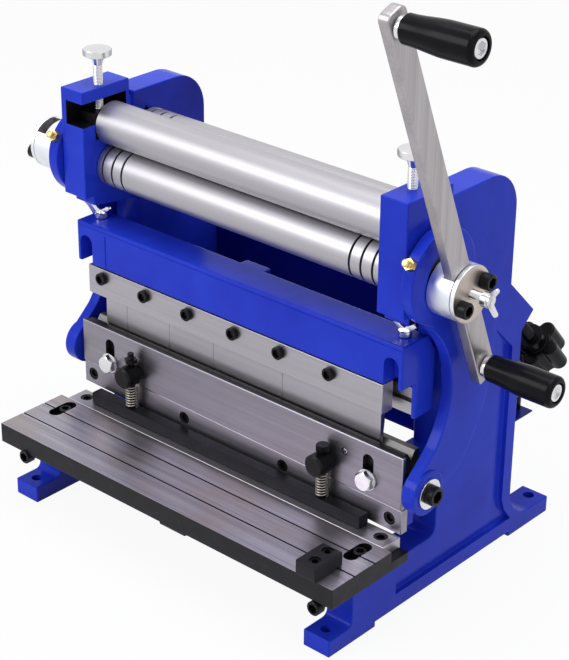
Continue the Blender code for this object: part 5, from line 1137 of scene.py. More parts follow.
def build_rolls():
    """Make the three rolls; the lower one is also the main shaft."""
    build_roll("main_roll", (SHAFT_Y, SHAFT_Z), ROLL_HALF, MAIN_JOURNAL,
               GAP - crank_slot(-1)[0], crank_slot(1)[0] - GAP)
    build_roll("upper_roll", (SHAFT_Y, UPPER_Z), ROLL_HALF, UPPER_JOURNAL,
               GAP - HEAD_INNER - BLOCK_LENGTH[-1], GEAR_OUTER, False)
    end = PLATE_INNER + REAR_BLOCK_LENGTH - GAP
    build_roll("rear_roll", (REAR_Y, REAR_Z), REAR_ROLL_HALF, REAR_JOURNAL, -end, end)


def build_bearings():
    """Make the sliding blocks of the upper and rear rolls."""
    for side, word in SIDE_NAMES.items():
        node = f"{word}_upper_bearing"
        low, high = box(node)
        bore = rod("X", (SHAFT_Y, UPPER_Z), UPPER_JOURNAL + GAP, low.x - CUT_OVER,
                   high.x + CUT_OVER)
        stand_in(node, cut(eased(block(low, high), EDGE), bore), BLACK_MAT)
        low, high = mirrored(side, PLATE_INNER + GAP, PLATE_INNER + REAR_BLOCK_LENGTH + GAP)
        half = REAR_BLOCK_HALF
        shoe = eased(along_adjuster(block((low, -half, -half), (high, half, half))), EDGE)
        bore = rod("X", (REAR_Y, REAR_Z), REAR_JOURNAL + GAP, low - CUT_OVER,
                   high + CUT_OVER)
        stand_in(f"{word}_rear_bearing", cut(shoe, bore), IRON_MAT)


def repaint_hidden():
    """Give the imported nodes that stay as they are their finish."""
    finishes = (("lower_gear", IRON_MAT), ("upper_gear", IRON_MAT),
                ("left_main_bush", BRONZE_MAT), ("right_main_bush", BRONZE_MAT),
                ("left_eccentric", IRON_MAT), ("right_eccentric", IRON_MAT))
    for node, mat in finishes:
        data = frame["nodes"][node].data
        data.materials.clear()
        data.materials.append(mat)


# Screws and other small hardware

def thread_profile(low, high, radius):
    """Return the ridged profile of a threaded shank."""
    turns = max(1, round((high - low) / THREAD_PITCH))
    step = (high - low) / turns
    points = []
    for index in range(turns):
        start = low + index * step
        points.append((start, radius - THREAD_DEPTH))
        points += [(start + share * step, radius) for share in THREAD_CREST_SHARES]
    return points + [(high, radius - THREAD_DEPTH)]


def socketed(axis, place, profile, radius, floor):
    """Turn a screw head and cut its hexagon socket from its end down to a floor."""
    top = profile[-1][0]
    low, high = sorted((floor, top + math.copysign(CUT_OVER, top - floor)))
    socket = hex_bar(axis, place, SOCKET_SHARE * radius, low, high)
    return cut(turned(axis, place, profile, SCREW_SIDES), socket)


def cap_screw(axis, place, seat, radius, height):
    """Return a cylinder head screw with a hexagon socket; height may be negative."""
    top = seat + height
    edge = math.copysign(radius / 9, height)
    profile = [(seat, radius - abs(edge) / 2), (seat + edge / 2, radius),
               (top - edge, radius), (top, radius - abs(edge))]
    return socketed(axis, place, profile, radius, top - SOCKET_DEPTH_SHARE * height)


def flush_screw(axis, place, seat, radius, height):
    """Return a socket head that widens to a thin rim and lies flush in its hole."""
    top = seat + height
    profile = [(seat, radius / 2), (top - math.copysign(radius / 6, height), radius),
               (top, radius)]
    return socketed(axis, place, profile, radius, seat + height / 3)


def build_thumb_screws():
    """Make the knurled screws that press the upper roll's bearings down."""
    top = THUMB_KNOB_Z + THUMB_RIM
    edge = THUMB_RIM / 16
    under = THUMB_KNOB_Z + 7 * edge
    profile = [(BLOCK_TOP + GAP, THUMB_SHANK - THREAD_DEPTH)]
    profile += thread_profile(BLOCK_TOP + 2 * GAP, THUMB_KNOB_Z - THUMB_NECK_LENGTH / 2,
                              THUMB_SHANK)
    profile += [(THUMB_KNOB_Z, 1.2 * THUMB_SHANK), (under - edge, THUMB_NECK),
                (under, THUMB_KNOB_RADIUS - edge), (under + edge, THUMB_KNOB_RADIUS, 1),
                (top - edge, THUMB_KNOB_RADIUS, 1), (top, THUMB_KNOB_RADIUS - edge)]
    for side, word in SIDE_NAMES.items():
        screw = turned("Z", (side * THUMB_X, THUMB_Y), profile, KNURLS, KNURL_DEPTH)
        stand_in(f"{word}_thumb_screw", screw, ZINC_MAT)


def star_outline(centre):
    """Return the outline of the star knob: round lobes with hollows between them."""
    points = []
    for lobe in range(KNOB_LOBES):
        middle = 360 * lobe / KNOB_LOBES
        middle_a, middle_b = on_circle(centre, 0.0, KNOB_LOBE_CENTRE, math.radians(middle))
        points += arc(middle_a, middle_b, KNOB_LOBE_RADIUS, middle - KNOB_LOBE_SWEEP,
                      middle + KNOB_LOBE_SWEEP, LOBE_STEPS)
    return points


def build_rear_adjusters():
    """Make the star knobs of the rear roll and their threaded screws."""
    neck_end = KNOB_START + KNOB_NECK_LENGTH
    for side, word in SIDE_NAMES.items():
        place = (side * REAR_SCREW_X, 0.0)
        star = eased(prism(star_outline(place[0]), "Z", neck_end, KNOB_END),
                     KNOB_LOBE_RADIUS / 2.4, 4, KNOB_EDGE_LIMIT)
        neck = turned("Z", place,
                      [(KNOB_START, KNOB_NECK - EDGE), (KNOB_START + EDGE, KNOB_NECK),
                       (neck_end - EDGE, KNOB_NECK),
                       (neck_end + CUT_OVER, KNOB_NECK + CUT_OVER)])
        node = f"{word}_rear_adjuster"
        stand_in(node, along_adjuster(carved(star, [neck])), GRIP_MAT)
        shank = turned("Z", place, thread_profile(REAR_BLOCK_HALF + GAP, KNOB_START - GAP,
                                                  REAR_SCREW))
        add_black(f"{word}_rear_screw", along_adjuster(shank), BODY_OF[node])


# Table and lower blade

def build_table():
    """Make the table, the lower blade on its ledge and the side guide."""
    rear = SHEAR_LINE - GAP
    over = TABLE_HALF + CUT_OVER
    above = TABLE_TOP + CUT_OVER
    well_floor = TABLE_TOP - TABLE_SLOT_DEPTH
    base = eased(prism([(TABLE_FRONT, TABLE_BOTTOM), (TABLE_FRONT, TABLE_TOP),
                        (rear, TABLE_TOP), (rear, TABLE_BOTTOM)],
                       "X", -TABLE_HALF, TABLE_HALF), TABLE_EDGE)
    lug = eased(block((TABLE_LUG_X, TABLE_FRONT + GAP, TABLE_BOTTOM - TABLE_LUG_DROP),
                      (TABLE_LUG_X + TABLE_LUG_WIDTH, TABLE_FRONT + TABLE_LUG_DEPTH,
                       TABLE_BOTTOM + TABLE_LUG_DROP)), TABLE_LUG_DROP / 2)
    cuts = [block((-over, BLADE_FRONT - GAP, LEDGE_TOP), (over, 0.0, above))]
    for inset in TABLE_GROOVE_INSETS:
        centre = TABLE_FRONT + inset
        cuts.append(block((-over, centre - TABLE_GROOVE_HALF, TABLE_TOP - TABLE_GROOVE_DEPTH),
                          (over, centre + TABLE_GROOVE_HALF, above)))
    for side in SIDE_NAMES:
        for radius, low, high in ((TABLE_SLOT_RADIUS, well_floor, above),
                                  (TABLE_BORE_RADIUS, TABLE_BOTTOM - CUT_OVER,
                                   well_floor + CUT_OVER / 2)):
            outline = slot_outline(side * TABLE_SLOT_X, TABLE_SLOT_FRONT + TABLE_SLOT_RADIUS,
                                   TABLE_SLOT_REAR - TABLE_SLOT_RADIUS, radius)
            cuts.append(prism(outline, "Z", low, high))
    mesh = carved(base, [lug], cuts)
    assign_faces(mesh, 1, lambda centre, normal: normal.z > 0.9
                 and centre.z > TABLE_TOP - 2 * GAP)
    stand_in("work_table", mesh, IRON_MAT, TABLE_MAT)
    blade_floor = TABLE_TOP - LEDGE_DROP / 2
    holes = [pin("Z", (side * LOWER_SCREW_X, LOWER_SCREW_Y), LOWER_SCREW + GAP, blade_floor,
                 above) for side in SIDE_NAMES]
    stand_in("lower_blade", cut(ground(block(*box("lower_blade"))), *holes), PLATE_MAT)
    low, high = box("side_guide_block")
    depth = (high.z - TABLE_TOP) / 2
    guide_floor = high.z - depth
    guide = eased(block(low, high), GUIDE_CHAMFER)
    wells = [pin("Z", place, GUIDE_SCREW + GAP, guide_floor, high.z + CUT_OVER)
             for place in GUIDE_SCREWS]
    stand_in("side_guide_block", cut(guide, *wells), IRON_MAT)
    for side, word in SIDE_NAMES.items():
        add_black(f"{word}_table_screw",
                  cap_screw("Z", (side * TABLE_SLOT_X, TABLE_SCREW_Y), well_floor + GAP,
                            TABLE_SLOT_RADIUS - 2 * GAP, TABLE_SLOT_DEPTH - 3 * GAP), "frame")
        add_black(f"{word}_lower_blade_screw",
                  flush_screw("Z", (side * LOWER_SCREW_X, LOWER_SCREW_Y), blade_floor + GAP,
                              LOWER_SCREW, LEDGE_DROP / 2 - 3 * GAP), "table")
    for index, place in enumerate(GUIDE_SCREWS):
        add_black(f"guide_screw_{index + 1}",
                  flush_screw("Z", place, guide_floor + GAP, GUIDE_SCREW,
                              depth - 5 * GAP), "table")
    for word, place in UNDER_SCREWS:
        head = cap_screw("Y", place, UNDER_SEAT, UNDER_SCREW, -UNDER_SCREW_LENGTH)
        shank = pin("Y", place, UNDER_SHANK, UNDER_SEAT - CUT_OVER / 2, SUPPORT_FRONT - GAP)
        add_black(f"{word}_front_screw", carved(head, [shank]), "frame")


# Ram with its blade, apron and arms

def along_blade(left, right, x_place):
    """Return the height at x of a raked line given at both ends of the blade."""
    return left + (right - left) * (x_place + BLADE_HALF) / (2 * BLADE_HALF)


def build_ram():
    """Make the ram with its V groove, a seat for the blade and cheeks at its ends."""
    outline = [(RAM_FRONT, RAM_WAIST), (RAM_FRONT, RAM_TOP), (VEE_Y - VEE_HALF, RAM_TOP),
               (VEE_Y, RAM_TOP - VEE_DEPTH), (VEE_Y + VEE_HALF, RAM_TOP),
               (RAM_REAR, RAM_TOP), (RAM_REAR, RAM_WAIST)]
    seat_front = BLADE_BACK + GAP
    over = RAM_HALF + CUT_OVER
    behind = RAM_REAR + CUT_OVER
    below = RAM_WAIST - CUT_OVER
    seat_low = [(side * RAM_HALF, BLADE_SEAT_DROP + along_blade(
        BLADE_LOW_LEFT, BLADE_LOW_RIGHT, side * RAM_HALF)) for side in SIDE_NAMES]
    seat = prism(seat_low + [(RAM_HALF, RAM_WAIST + CUT_OVER),
                             (-RAM_HALF, RAM_WAIST + CUT_OVER)],
                 "Y", seat_front, RAM_HOLLOW_FRONT)
    seam_room = prism([(-BLADE_HALF, below), (BLADE_HALF, below),
                       (BLADE_HALF, SEAM_RIGHT + GAP), (-BLADE_HALF, SEAM_LEFT + GAP)],
                      "Y", RAM_FRONT - CUT_OVER, seat_front)
    over_cheeks = block((-over, VEE_LAND_REAR, RAM_TOP - RAM_CHEEK_DROP),
                        (over, behind, RAM_TOP + CUT_OVER))
    between_cheeks = block((-PLATE_INNER, VEE_LAND_REAR, below),
                           (PLATE_INNER, behind, RAM_TOP))
    joins = [eased(seat, EDGE)]
    cuts = [seam_room, over_cheeks, between_cheeks]
    for side in SIDE_NAMES:
        joins.append(rod_side(side, (PIN_Y, PIN_Z), RAM_BOSS, RAM_HALF - CUT_OVER,
                              ARM_INNER - GAP))
        cuts.append(rod_side(side, (PIN_Y, PIN_Z), PIN_SHANK + GAP,
                             ARM_INNER - PIN_DEPTH - GAP, ARM_INNER + CUT_OVER))
        cuts.append(rod("Y", (side * APRON_SLOT_X, APRON_BOLT_Z), APRON_BOLT_SHANK + GAP,
                        RAM_FRONT - CUT_OVER, RAM_FRONT + 2 * BLADE_THICK))
    body = eased(prism(outline, "X", -RAM_HALF, RAM_HALF), EDGE / 2)
    mesh = carved(body, joins, cuts)
    # The V's rear flank and the land behind it take the dark V steel, painted shade
    assign_faces(mesh, 1, lambda centre, normal: normal.z > 0.2 and centre.y > VEE_Y
                 and centre.z > RAM_TOP - VEE_DEPTH - GAP)
    # The ram's front land, front flank and front face behind the blade and apron take black,
    # painted shade of the gap there
    assign_faces(mesh, 2, lambda centre, normal: centre.y < VEE_Y
                 and abs(centre.x) < BLADE_HALF and centre.z > RAM_WAIST)
    stand_in("ram_body", mesh, BLUE_MAT, VEE_SHADE_MAT, BLACK_MAT)


def raked_plate(low_left, low_right, high_left, high_right, front, back):
    """Return a plate across the ram; its corners are heights at the blade's two ends."""
    outline = [(-BLADE_HALF, low_left), (BLADE_HALF, low_right), (BLADE_HALF, high_right),
               (-BLADE_HALF, high_left)]
    return ground(prism(outline, "Y", front, back), EDGE)


def build_upper_blade():
    """Make the raked upper blade with its four sunk screws."""
    blade = raked_plate(BLADE_LOW_LEFT, BLADE_LOW_RIGHT, SEAM_LEFT, SEAM_RIGHT,
                        BLADE_FACE, BLADE_BACK)
    places = [(place, (along_blade(BLADE_LOW_LEFT, BLADE_LOW_RIGHT, place)
                       + along_blade(SEAM_LEFT, SEAM_RIGHT, place)) / 2)
              for place in BLADE_SCREWS]
    floor = BLADE_FACE + BLADE_THICK / 2
    holes = [pin("Y", place, BLADE_SCREW + GAP, BLADE_FACE - CUT_OVER, floor)
             for place in places]
    stand_in("upper_blade", cut(blade, *holes), APRON_MAT)
    for index, place in enumerate(places):
        screw = flush_screw("Y", place, floor - GAP, BLADE_SCREW, 4 * GAP - BLADE_THICK / 2)
        add_black(f"upper_blade_screw_{index + 1}", screw, "ram")


def build_apron():
    """Make the slotted apron plate with its bolts and the small screw beside them."""
    cuts = [prism(slot_outline(side * APRON_SLOT_X, APRON_SLOT_LOW, APRON_SLOT_HIGH,
                               APRON_SLOT_RADIUS), "Y", APRON_FRONT - CUT_OVER,
                  APRON_BACK + CUT_OVER) for side in SIDE_NAMES]
    cuts.append(pin("Y", APRON_HOLE, APRON_HOLE_RADIUS, APRON_FRONT - CUT_OVER,
                    APRON_BACK - 2 * GAP))
    plate = raked_plate(SEAM_LEFT + GAP, SEAM_RIGHT + GAP, APRON_TOP, APRON_TOP,
                        APRON_FRONT, APRON_BACK)
    mesh = cut(plate, *cuts)
    # The top edge takes dark iron: painted shade of the gap behind the apron
    assign_faces(mesh, 1, lambda centre, normal: normal.z > 0.9
                 and centre.z > APRON_TOP - GAP)
    stand_in("apron_plate", mesh, APRON_MAT, IRON_MAT)
    stub = turned("Y", APRON_HOLE, [(APRON_BACK - 3 * GAP, APRON_HOLE_RADIUS / 3),
                                    (APRON_FRONT + GAP, APRON_HOLE_RADIUS / 1.6),
                                    (APRON_FRONT, APRON_HOLE_RADIUS / 2)], SCREW_SIDES)
    add_piece("apron_set_screw", stub, "apron", "bright_chrome", ZINC_MAT)
    washer_back = APRON_FRONT - GAP
    washer_front = washer_back - APRON_BOLT_WASHER_THICK
    head_front = washer_front - APRON_BOLT_HEAD_THICK
    for side, word in SIDE_NAMES.items():
        place = (side * APRON_SLOT_X, APRON_BOLT_Z)
        washer = eased(rod("Y", place, APRON_BOLT_WASHER, washer_front, washer_back), GAP)
        shank = pin("Y", place, APRON_BOLT_SHANK, washer_back - GAP,
                    RAM_FRONT + 2 * BLADE_THICK - GAP)
        head = cut(hex_bar("Y", place, APRON_BOLT_HEAD, head_front, washer_front + GAP),
                   hex_crown(place, head_front))
        stand_in(f"{word}_apron_bolt", carved(washer, [head, shank]), ZINC_MAT)


def hex_crown(place, front):
    """Return the ring that turns the corners off a hex head's front face."""
    flat = APRON_BOLT_HEAD / 2
    back = front + APRON_BOLT_HEAD_THICK / 3
    ring = turned("Y", place, [(front - CUT_OVER, 2 * flat), (back, 2 * flat)])
    cone = turned("Y", place, [(front - CUT_OVER, flat - CUT_OVER), (front, 0.94 * flat),
                               (back, 1.17 * flat), (back + GAP, 1.3 * flat)])
    return cut(ring, cone)


def arm_point(behind, share):
    """Return the (y, z) of a point of the link arm."""
    return (SHAFT_Y + behind, PIN_Z + share * (SHAFT_Z - PIN_Z))


def arm_outline():
    """Return the C-shaped link arm (y, z) from its ring down to its boss."""
    throat = [arm_point(*pair) for pair in ARM_THROAT_SHARES]
    heel = [arm_point(*pair) for pair in ARM_HEEL_SHARES]
    back = arm_point(*ARM_BACK_SHARE)
    ring_side = (SHAFT_Y + ARM_RING - GAP, RING_Z)
    bulge = ((back[0] + ring_side[0] + ARM_THICK) / 2, (back[1] + ring_side[1]) / 2)
    return (arc_through(*throat, THROAT_STEPS)
            + [on_circle(PIN_Y, PIN_Z, ARM_BOSS, ARM_BOSS_MERGE), (PIN_Y, PIN_Z),
               (PIN_Y + ARM_BOSS / 2, PIN_Z - ARM_BOSS / 2)]
            + arc_through(*heel, BACK_STEPS)
            + arc_through(back, bulge, ring_side, BACK_STEPS) + [(SHAFT_Y, RING_Z)])


def build_arms():
    """Make the link arms with their nipples, pins and washers."""
    pin_axis = (PIN_Y, PIN_Z)
    ring_axis = (SHAFT_Y, RING_Z)
    inner = ARM_INNER - CUT_OVER
    outer = ARM_OUTER + CUT_OVER
    boss_end = ARM_OUTER + ARM_BOSS_RISE
    seat = boss_end + GAP
    washer = seat + PIN_WASHER_THICK
    for side, word in SIDE_NAMES.items():
        ring = cast(rod_side(side, ring_axis, ARM_RING, ARM_INNER, ARM_OUTER, RIM_SIDES),
                    ARM_EDGE)
        web = cast(prism_side(arm_outline(), side, ARM_INNER, ARM_OUTER), ARM_EDGE)
        boss = cast(rod_side(side, pin_axis, ARM_BOSS, ARM_INNER, boss_end), ARM_EDGE)
        bore = rod_side(side, ring_axis, ECCENTRIC + GAP, inner, outer, RIM_SIDES)
        hole = rod_side(side, pin_axis, PIN_SHANK + GAP, inner, outer)
        stand_in(f"{word}_link_arm", carved(ring, [web, boss], [bore, hole]), BLUE_MAT)
        disc = eased(rod_side(side, pin_axis, PIN_WASHER, seat, washer), GAP)
        add_piece(f"{word}_pin_washer", disc, "ram", "bright_chrome", ZINC_MAT)
        head = cap_screw("X", pin_axis, side * (washer + GAP / 3), PIN_HEAD,
                         side * PIN_HEAD_HEIGHT)
        shank = rod_side(side, pin_axis, PIN_SHANK, ARM_INNER - PIN_DEPTH, seat - GAP)
        stand_in(f"{word}_arm_pin", joined(head, shank), BLACK_MAT)
        build_nipple(side, word)


def build_nipple(side, word):
    """Make the brass grease nipple that stands on the front of an arm's ring."""
    hexagon = eased(hex_bar("Z", (0.0, 0.0), NIPPLE_ACROSS, 0.0, NIPPLE_HEX), GAP)
    profile = [(NIPPLE_HEX - GAP, NIPPLE_ROOT_SHARE * NIPPLE_ACROSS)]
    profile += [(NIPPLE_HEX + along * NIPPLE_TIP, radius * NIPPLE_ACROSS)
                for along, radius in NIPPLE_SHARES]
    mesh = joined(hexagon, turned("Z", (0.0, 0.0), profile, SCREW_SIDES))
    place = Matrix.Translation((side * (ARM_INNER + ARM_OUTER) / 2, SHAFT_Y, RING_Z))
    turn = Matrix.Rotation(NIPPLE_TILT, 4, "X")
    mesh.transform(place @ turn @ Matrix.Translation((0.0, 0.0, ARM_RING - GAP)))
    add_piece(f"{word}_grease_nipple", mesh, "ram", "brass_fitting", BRASS_MAT)


# Hold-down

def spring_mesh(name, place_x, low, high):
    """Return one wound spring as a mesh."""
    start = low + SPRING_WIRE / 2
    end = high - SPRING_WIRE / 2
    steps = SPRING_CURLS * SPRING_STEPS
    curve = bpy.data.curves.new(name, "CURVE")
    curve.dimensions = "3D"
    curve.bevel_depth = SPRING_WIRE / 2
    curve.bevel_resolution = 4
    curve.use_fill_caps = True
    line = curve.splines.new("POLY")
    line.points.add(steps)
    for index, target in enumerate(line.points):
        turn = 2 * math.pi * index / SPRING_STEPS
        target.co = (*on_circle(place_x, HOLD_Y, SPRING_RADIUS, turn),
                     start + (end - start) * index / steps, 1.0)
    obj = bpy.data.objects.new(name, curve)
    bpy.context.collection.objects.link(obj)
    graph = bpy.context.evaluated_depsgraph_get()
    mesh = bpy.data.meshes.new_from_object(obj.evaluated_get(graph))
    bpy.data.objects.remove(obj, do_unlink=True)
    return mesh


def barrel_profile():
    """Return the profile of a hold-down barrel, from the apron to its front."""
    back = APRON_FRONT - GAP
    front = back - HOLD_BARREL_LENGTH
    edge = HOLD_BARREL_RADIUS / 6
    neck = BARREL_NECK_SHARE * HOLD_BARREL_RADIUS
    return [(back, BARREL_END_SHARE * HOLD_BARREL_RADIUS), (back - edge, neck),
            (back - 2.2 * edge, neck), (back - 3.2 * edge, HOLD_BARREL_RADIUS),
            (front + edge, HOLD_BARREL_RADIUS), (front, HOLD_BARREL_RADIUS - edge)]


def build_rod(word, centre):
    """Make a hold-down rod: the left one has a nut and a thread, the right one a knob."""
    seat = BARREL_TOP + GAP
    low = HOLD_BAR_TOP - HOLD_ROD_SEAT
    top = seat + HOLD_HEAD_HEIGHT
    if word == "left":
        start = top - HOLD_ROD
        head = eased(hex_bar("Z", centre, ROD_NUT_SHARE * HOLD_HEAD, seat + ROD_NUT_RISE,
                             start + ROD_NUT_RISE), EDGE / 2)
        stem = turned("Z", centre, [(low, HOLD_ROD), (start, HOLD_ROD)]
                      + thread_profile(start, top + ROD_TIP_RISE, HOLD_ROD))
    else:
        head = turned("Z", centre, [(seat, HOLD_HEAD - EDGE), (seat + EDGE, HOLD_HEAD, 1),
                                    (top - EDGE, HOLD_HEAD, 1), (top, HOLD_HEAD - EDGE)],
                      ROUND_SIDES, KNURL_DEPTH)
        stem = pin("Z", centre, HOLD_ROD, low, seat + GAP)
    stand_in(f"{word}_hold_down_rod", carved(head, [stem]), BLACK_MAT)


def build_hold_down():
    """Make the hold-down bar with its rods, barrels and springs."""
    bar = eased(block(*box("hold_down_bar")), HOLD_BAR_EDGE)
    holes = []
    low = HOLD_BAR_TOP + GAP
    high = BARREL_LOW - GAP
    for word in SIDE_NAMES.values():
        place = middle(f"{word}_hold_down_barrel").x
        centre = (place, HOLD_Y)
        holes.append(pin("Z", centre, HOLD_ROD + GAP, HOLD_BAR_TOP - HOLD_ROD_SEAT - GAP,
                         HOLD_BAR_TOP + CUT_OVER))
        bore = pin("Z", centre, HOLD_ROD + GAP, BARREL_LOW - CUT_OVER, BARREL_TOP + CUT_OVER)
        barrel = turned("Y", (place, HOLD_BARREL_Z), barrel_profile())
        stand_in(f"{word}_hold_down_barrel", cut(barrel, bore), BLACK_MAT)
        build_rod(word, centre)
        spring = stand_in(f"{word}_hold_down_spring",
                          spring_mesh(f"{word}_coil", place, low, high), SPRING_MAT)
        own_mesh(spring)
    stand_in("hold_down_bar", cut(bar, *holes), IRON_MAT)


# Upper beam and its tools

def beam_outline():
    """Return the beam's section (y, z): a top block with a leg down its back."""
    knee = BEAM_LIP - BEAM_LEG_LOW
    return [(BEAM_FRONT, BEAM_LIP), (BEAM_FRONT, BEAM_TOP), (BEAM_REAR_TOP, BEAM_TOP),
            (BEAM_REAR, BEAM_TOP - knee / 2), (BEAM_REAR, BEAM_LEG_LOW),
            (BEAM_LEG_FRONT, BEAM_LEG_LOW), (BEAM_LEG_FRONT, BEAM_LIP)]


def build_beam():
    """Make the beam with its cheeks, notches, rib, line and small boss."""
    boss = eased(block((-BEAM_BOSS_LEFT, BEAM_REAR_TOP - CUT_OVER,
                        BEAM_TOP - BEAM_BOSS_HEIGHT),
                       (BEAM_BOSS_RIGHT, BEAM_BOSS_REAR, BEAM_TOP)), BEAM_EDGE)
    front = BEAM_FRONT - CUT_OVER
    joins = [boss]
    cuts = []
    notch = hook_outline(BEAM_LEG_LOW - CUT_OVER, 0.0)
    for side in SIDE_NAMES:
        cheek = block_side(side, (NOTCH_OUTER - EDGE, BEAM_CHEEK_FRONT, BEAM_LEG_LOW),
                           (BEAM_HALF, BEAM_REAR, BEAM_LIP + CUT_OVER))
        joins.append(cast(cheek, BEAM_EDGE))
        cuts += [prism(flipped(notch, side), "Y", front, BEAM_REAR + CUT_OVER),
                 pin("Z", (side * WING_X, WING_Y), WING_SHANK + GAP,
                     NOTCH_CROWN - 2 * CUT_OVER, BEAM_TOP + CUT_OVER)]
    joins.append(block((BEAM_RIB_X - BEAM_RIB_HALF, BEAM_FRONT - BEAM_RIB_RISE,
                        BEAM_LIP + BEAM_EDGE),
                       (BEAM_RIB_X + BEAM_RIB_HALF, BEAM_FRONT + CUT_OVER,
                        BEAM_TOP - 2 * BEAM_LINE_DROP)))
    over = BEAM_HALF + CUT_OVER
    line_top = BEAM_TOP - BEAM_LINE_DROP
    cuts.append(block((-over, front, line_top - BEAM_LINE),
                      (over, BEAM_FRONT + BEAM_LINE, line_top)))
    beam = cast(prism(beam_outline(), "X", -BEAM_HALF, BEAM_HALF), BEAM_EDGE)
    stand_in("upper_beam", carved(beam, joins, cuts), BLUE_MAT)


def build_brake_tools():
    """Make the clamp bar and its screws, the grooved backing bar and the fingers."""
    low, high = box("clamp_bar")
    stand_in("clamp_bar", ground(block(low, high)), PLATE_MAT)
    for index, share in enumerate(CLAMP_SCREW_SHARES):
        place = (low.x + share * (high.x - low.x), high.z - CLAMP_SCREW_DROP)
        screw = cap_screw("Y", place, low.y - GAP, CLAMP_SCREW_HEAD, -CLAMP_SCREW_HEIGHT)
        add_black(f"clamp_screw_{index + 1}", screw, "frame")
    low, high = box("finger_backing_bar")
    groove_low = low.z + BACKING_GROOVE_RISE
    way = block((low.x - CUT_OVER, low.y - CUT_OVER, groove_low),
                (high.x + CUT_OVER, low.y + BACKING_GROOVE_DEPTH,
                 groove_low + BACKING_GROOVE))
    stand_in("finger_backing_bar", cut(ground(block(low, high)), way), PLATE_MAT)
    outline = [(FINGER_FRONT, FINGER_TOP), (FINGER_FRONT, FINGER_TIP + FINGER_TAPER / 4),
               (VEE_Y - FINGER_TIP_HALF, FINGER_TIP), (VEE_Y + FINGER_TIP_HALF, FINGER_TIP),
               (FINGER_BACK, FINGER_TIP + FINGER_TAPER), (FINGER_BACK, FINGER_TOP)]
    for index in range(FINGERS):
        node = f"finger_{index + 1}"
        low, high = box(node)
        stand_in(node, ground(prism(outline, "X", low.x, high.x)), PLATE_MAT)


# Wing bolts of the beam and the hubs

def wing_plates(reach, middle_y, place_at):
    """Return a bolt's two flared wings; place_at turns (across, along) into (x, z)."""
    half = WING_THICK / 2
    plates = []
    for turn in (-1, 1):
        outline = [(0.0, reach - 2 * GAP), (turn * WING_COLLAR, reach),
                   (turn * (WING_SPAN - WING_THICK / 2), reach + WING_RISE / 2),
                   (turn * WING_SPAN, reach + 0.75 * WING_RISE),
                   (turn * (WING_SPAN - WING_THICK / 3), reach + WING_RISE),
                   (turn * (WING_SPAN - WING_THICK), reach + WING_RISE),
                   (turn * WING_COLLAR / 2, reach + WING_RISE / 2.2),
                   (0.0, reach + WING_RISE / 3)]
        plate = prism([place_at(across, along) for across, along in outline], "Y",
                      middle_y - half, middle_y + half)
        plates.append(eased(plate, WING_EASE_SHARE * WING_THICK))
    return plates


def build_beam_wing(side, word):
    """Make a wing bolt that locks the beam on its lug."""
    seat = BEAM_TOP + GAP
    top = seat + WING_COLLAR_HEIGHT
    profile = [(NOTCH_CROWN + CUT_OVER / 4, WING_SHANK), (seat, WING_SHANK),
               (seat, 0.82 * WING_COLLAR), (seat + EDGE, WING_COLLAR),
               (top - EDGE, WING_COLLAR), (top, COLLAR_END_SHARE * WING_COLLAR)]
    wings = wing_plates(top - GAP, WING_Y,
                        lambda across, along: (side * WING_X + across, along))
    bolt = turned("Z", (side * WING_X, WING_Y), profile, COLLAR_SIDES)
    stand_in(f"{word}_beam_wing_bolt", carved(bolt, wings), ZINC_MAT)


def build_hub_wing(side, word, start, seat):
    """Make the wing bolt that clamps the crank bar in its hub."""
    reach = seat + HUB_WING_REACH[side]
    root = reach - WING_COLLAR
    collar = WING_COLLAR + EDGE
    profile = thread_profile(start, root, WING_SHANK)
    profile += [(root, WING_SHANK - THREAD_DEPTH), (root, collar), (reach - EDGE, collar),
                (reach, COLLAR_END_SHARE * WING_COLLAR), (reach + EDGE, WING_COLLAR),
                (reach + WING_THICK / 2, WING_COLLAR)]
    wings = wing_plates(reach - GAP, SHAFT_Y,
                        lambda across, along: (side * along, SHAFT_Z + across))
    bolt = turned("X", (SHAFT_Y, SHAFT_Z), flipped(profile, side), COLLAR_SIDES)
    stand_in(f"{word}_hub_wing_bolt", carved(bolt, wings), ZINC_MAT)


# Hubs, crank and grips

def build_hubs():
    """Make both slotted hubs with their cover discs, cap screws and wing bolts."""
    axis = (SHAFT_Y, SHAFT_Z)
    half = CRANK_WIDTH / 2 + GAP
    reach = HUB_RADIUS + CUT_OVER
    for side, word in SIDE_NAMES.items():
        low, end = crank_slot(side)
        hub = eased(rod_side(side, axis, HUB_RADIUS, HUB_INNER, end, RIM_SIDES), EDGE)
        bore = rod_side(side, axis, MAIN_JOURNAL + GAP, HUB_INNER - CUT_OVER,
                        low + CUT_OVER / 2)
        way = block_side(side, (low, SHAFT_Y - half, SHAFT_Z - reach),
                         (end + CUT_OVER, SHAFT_Y + half, SHAFT_Z + reach))
        stand_in(f"{word}_hub", cut(hub, bore, turned_to_crank(way)), CHROME_MAT)
        disc_low = end + GAP
        disc_high = disc_low + HUB_DISC_THICK
        disc = eased(rod_side(side, axis, HUB_RADIUS, disc_low, disc_high, RIM_SIDES), EDGE)
        hole = rod_side(side, axis, WING_SHANK + GAP, disc_low - CUT_OVER,
                        disc_high + CUT_OVER)
        disc = assign_faces(cut(disc, hole), 1, lambda centre, normal: abs(normal.x) > 0.9)
        stand_in(f"{word}_hub_disc", disc, CHROME_MAT, DISC_MAT)
        for index, angle in enumerate(HUB_SCREW_ANGLES):
            screw = cap_screw("X", on_circle(*axis, HUB_SCREW_REACH, angle),
                              side * (disc_high + GAP / 3), HUB_SCREW,
                              side * HUB_SCREW_HEIGHT)
            add_black(f"{word}_hub_screw_{index + 1}", screw, "main_shaft")
        build_hub_wing(side, word, disc_low, disc_high + GAP)


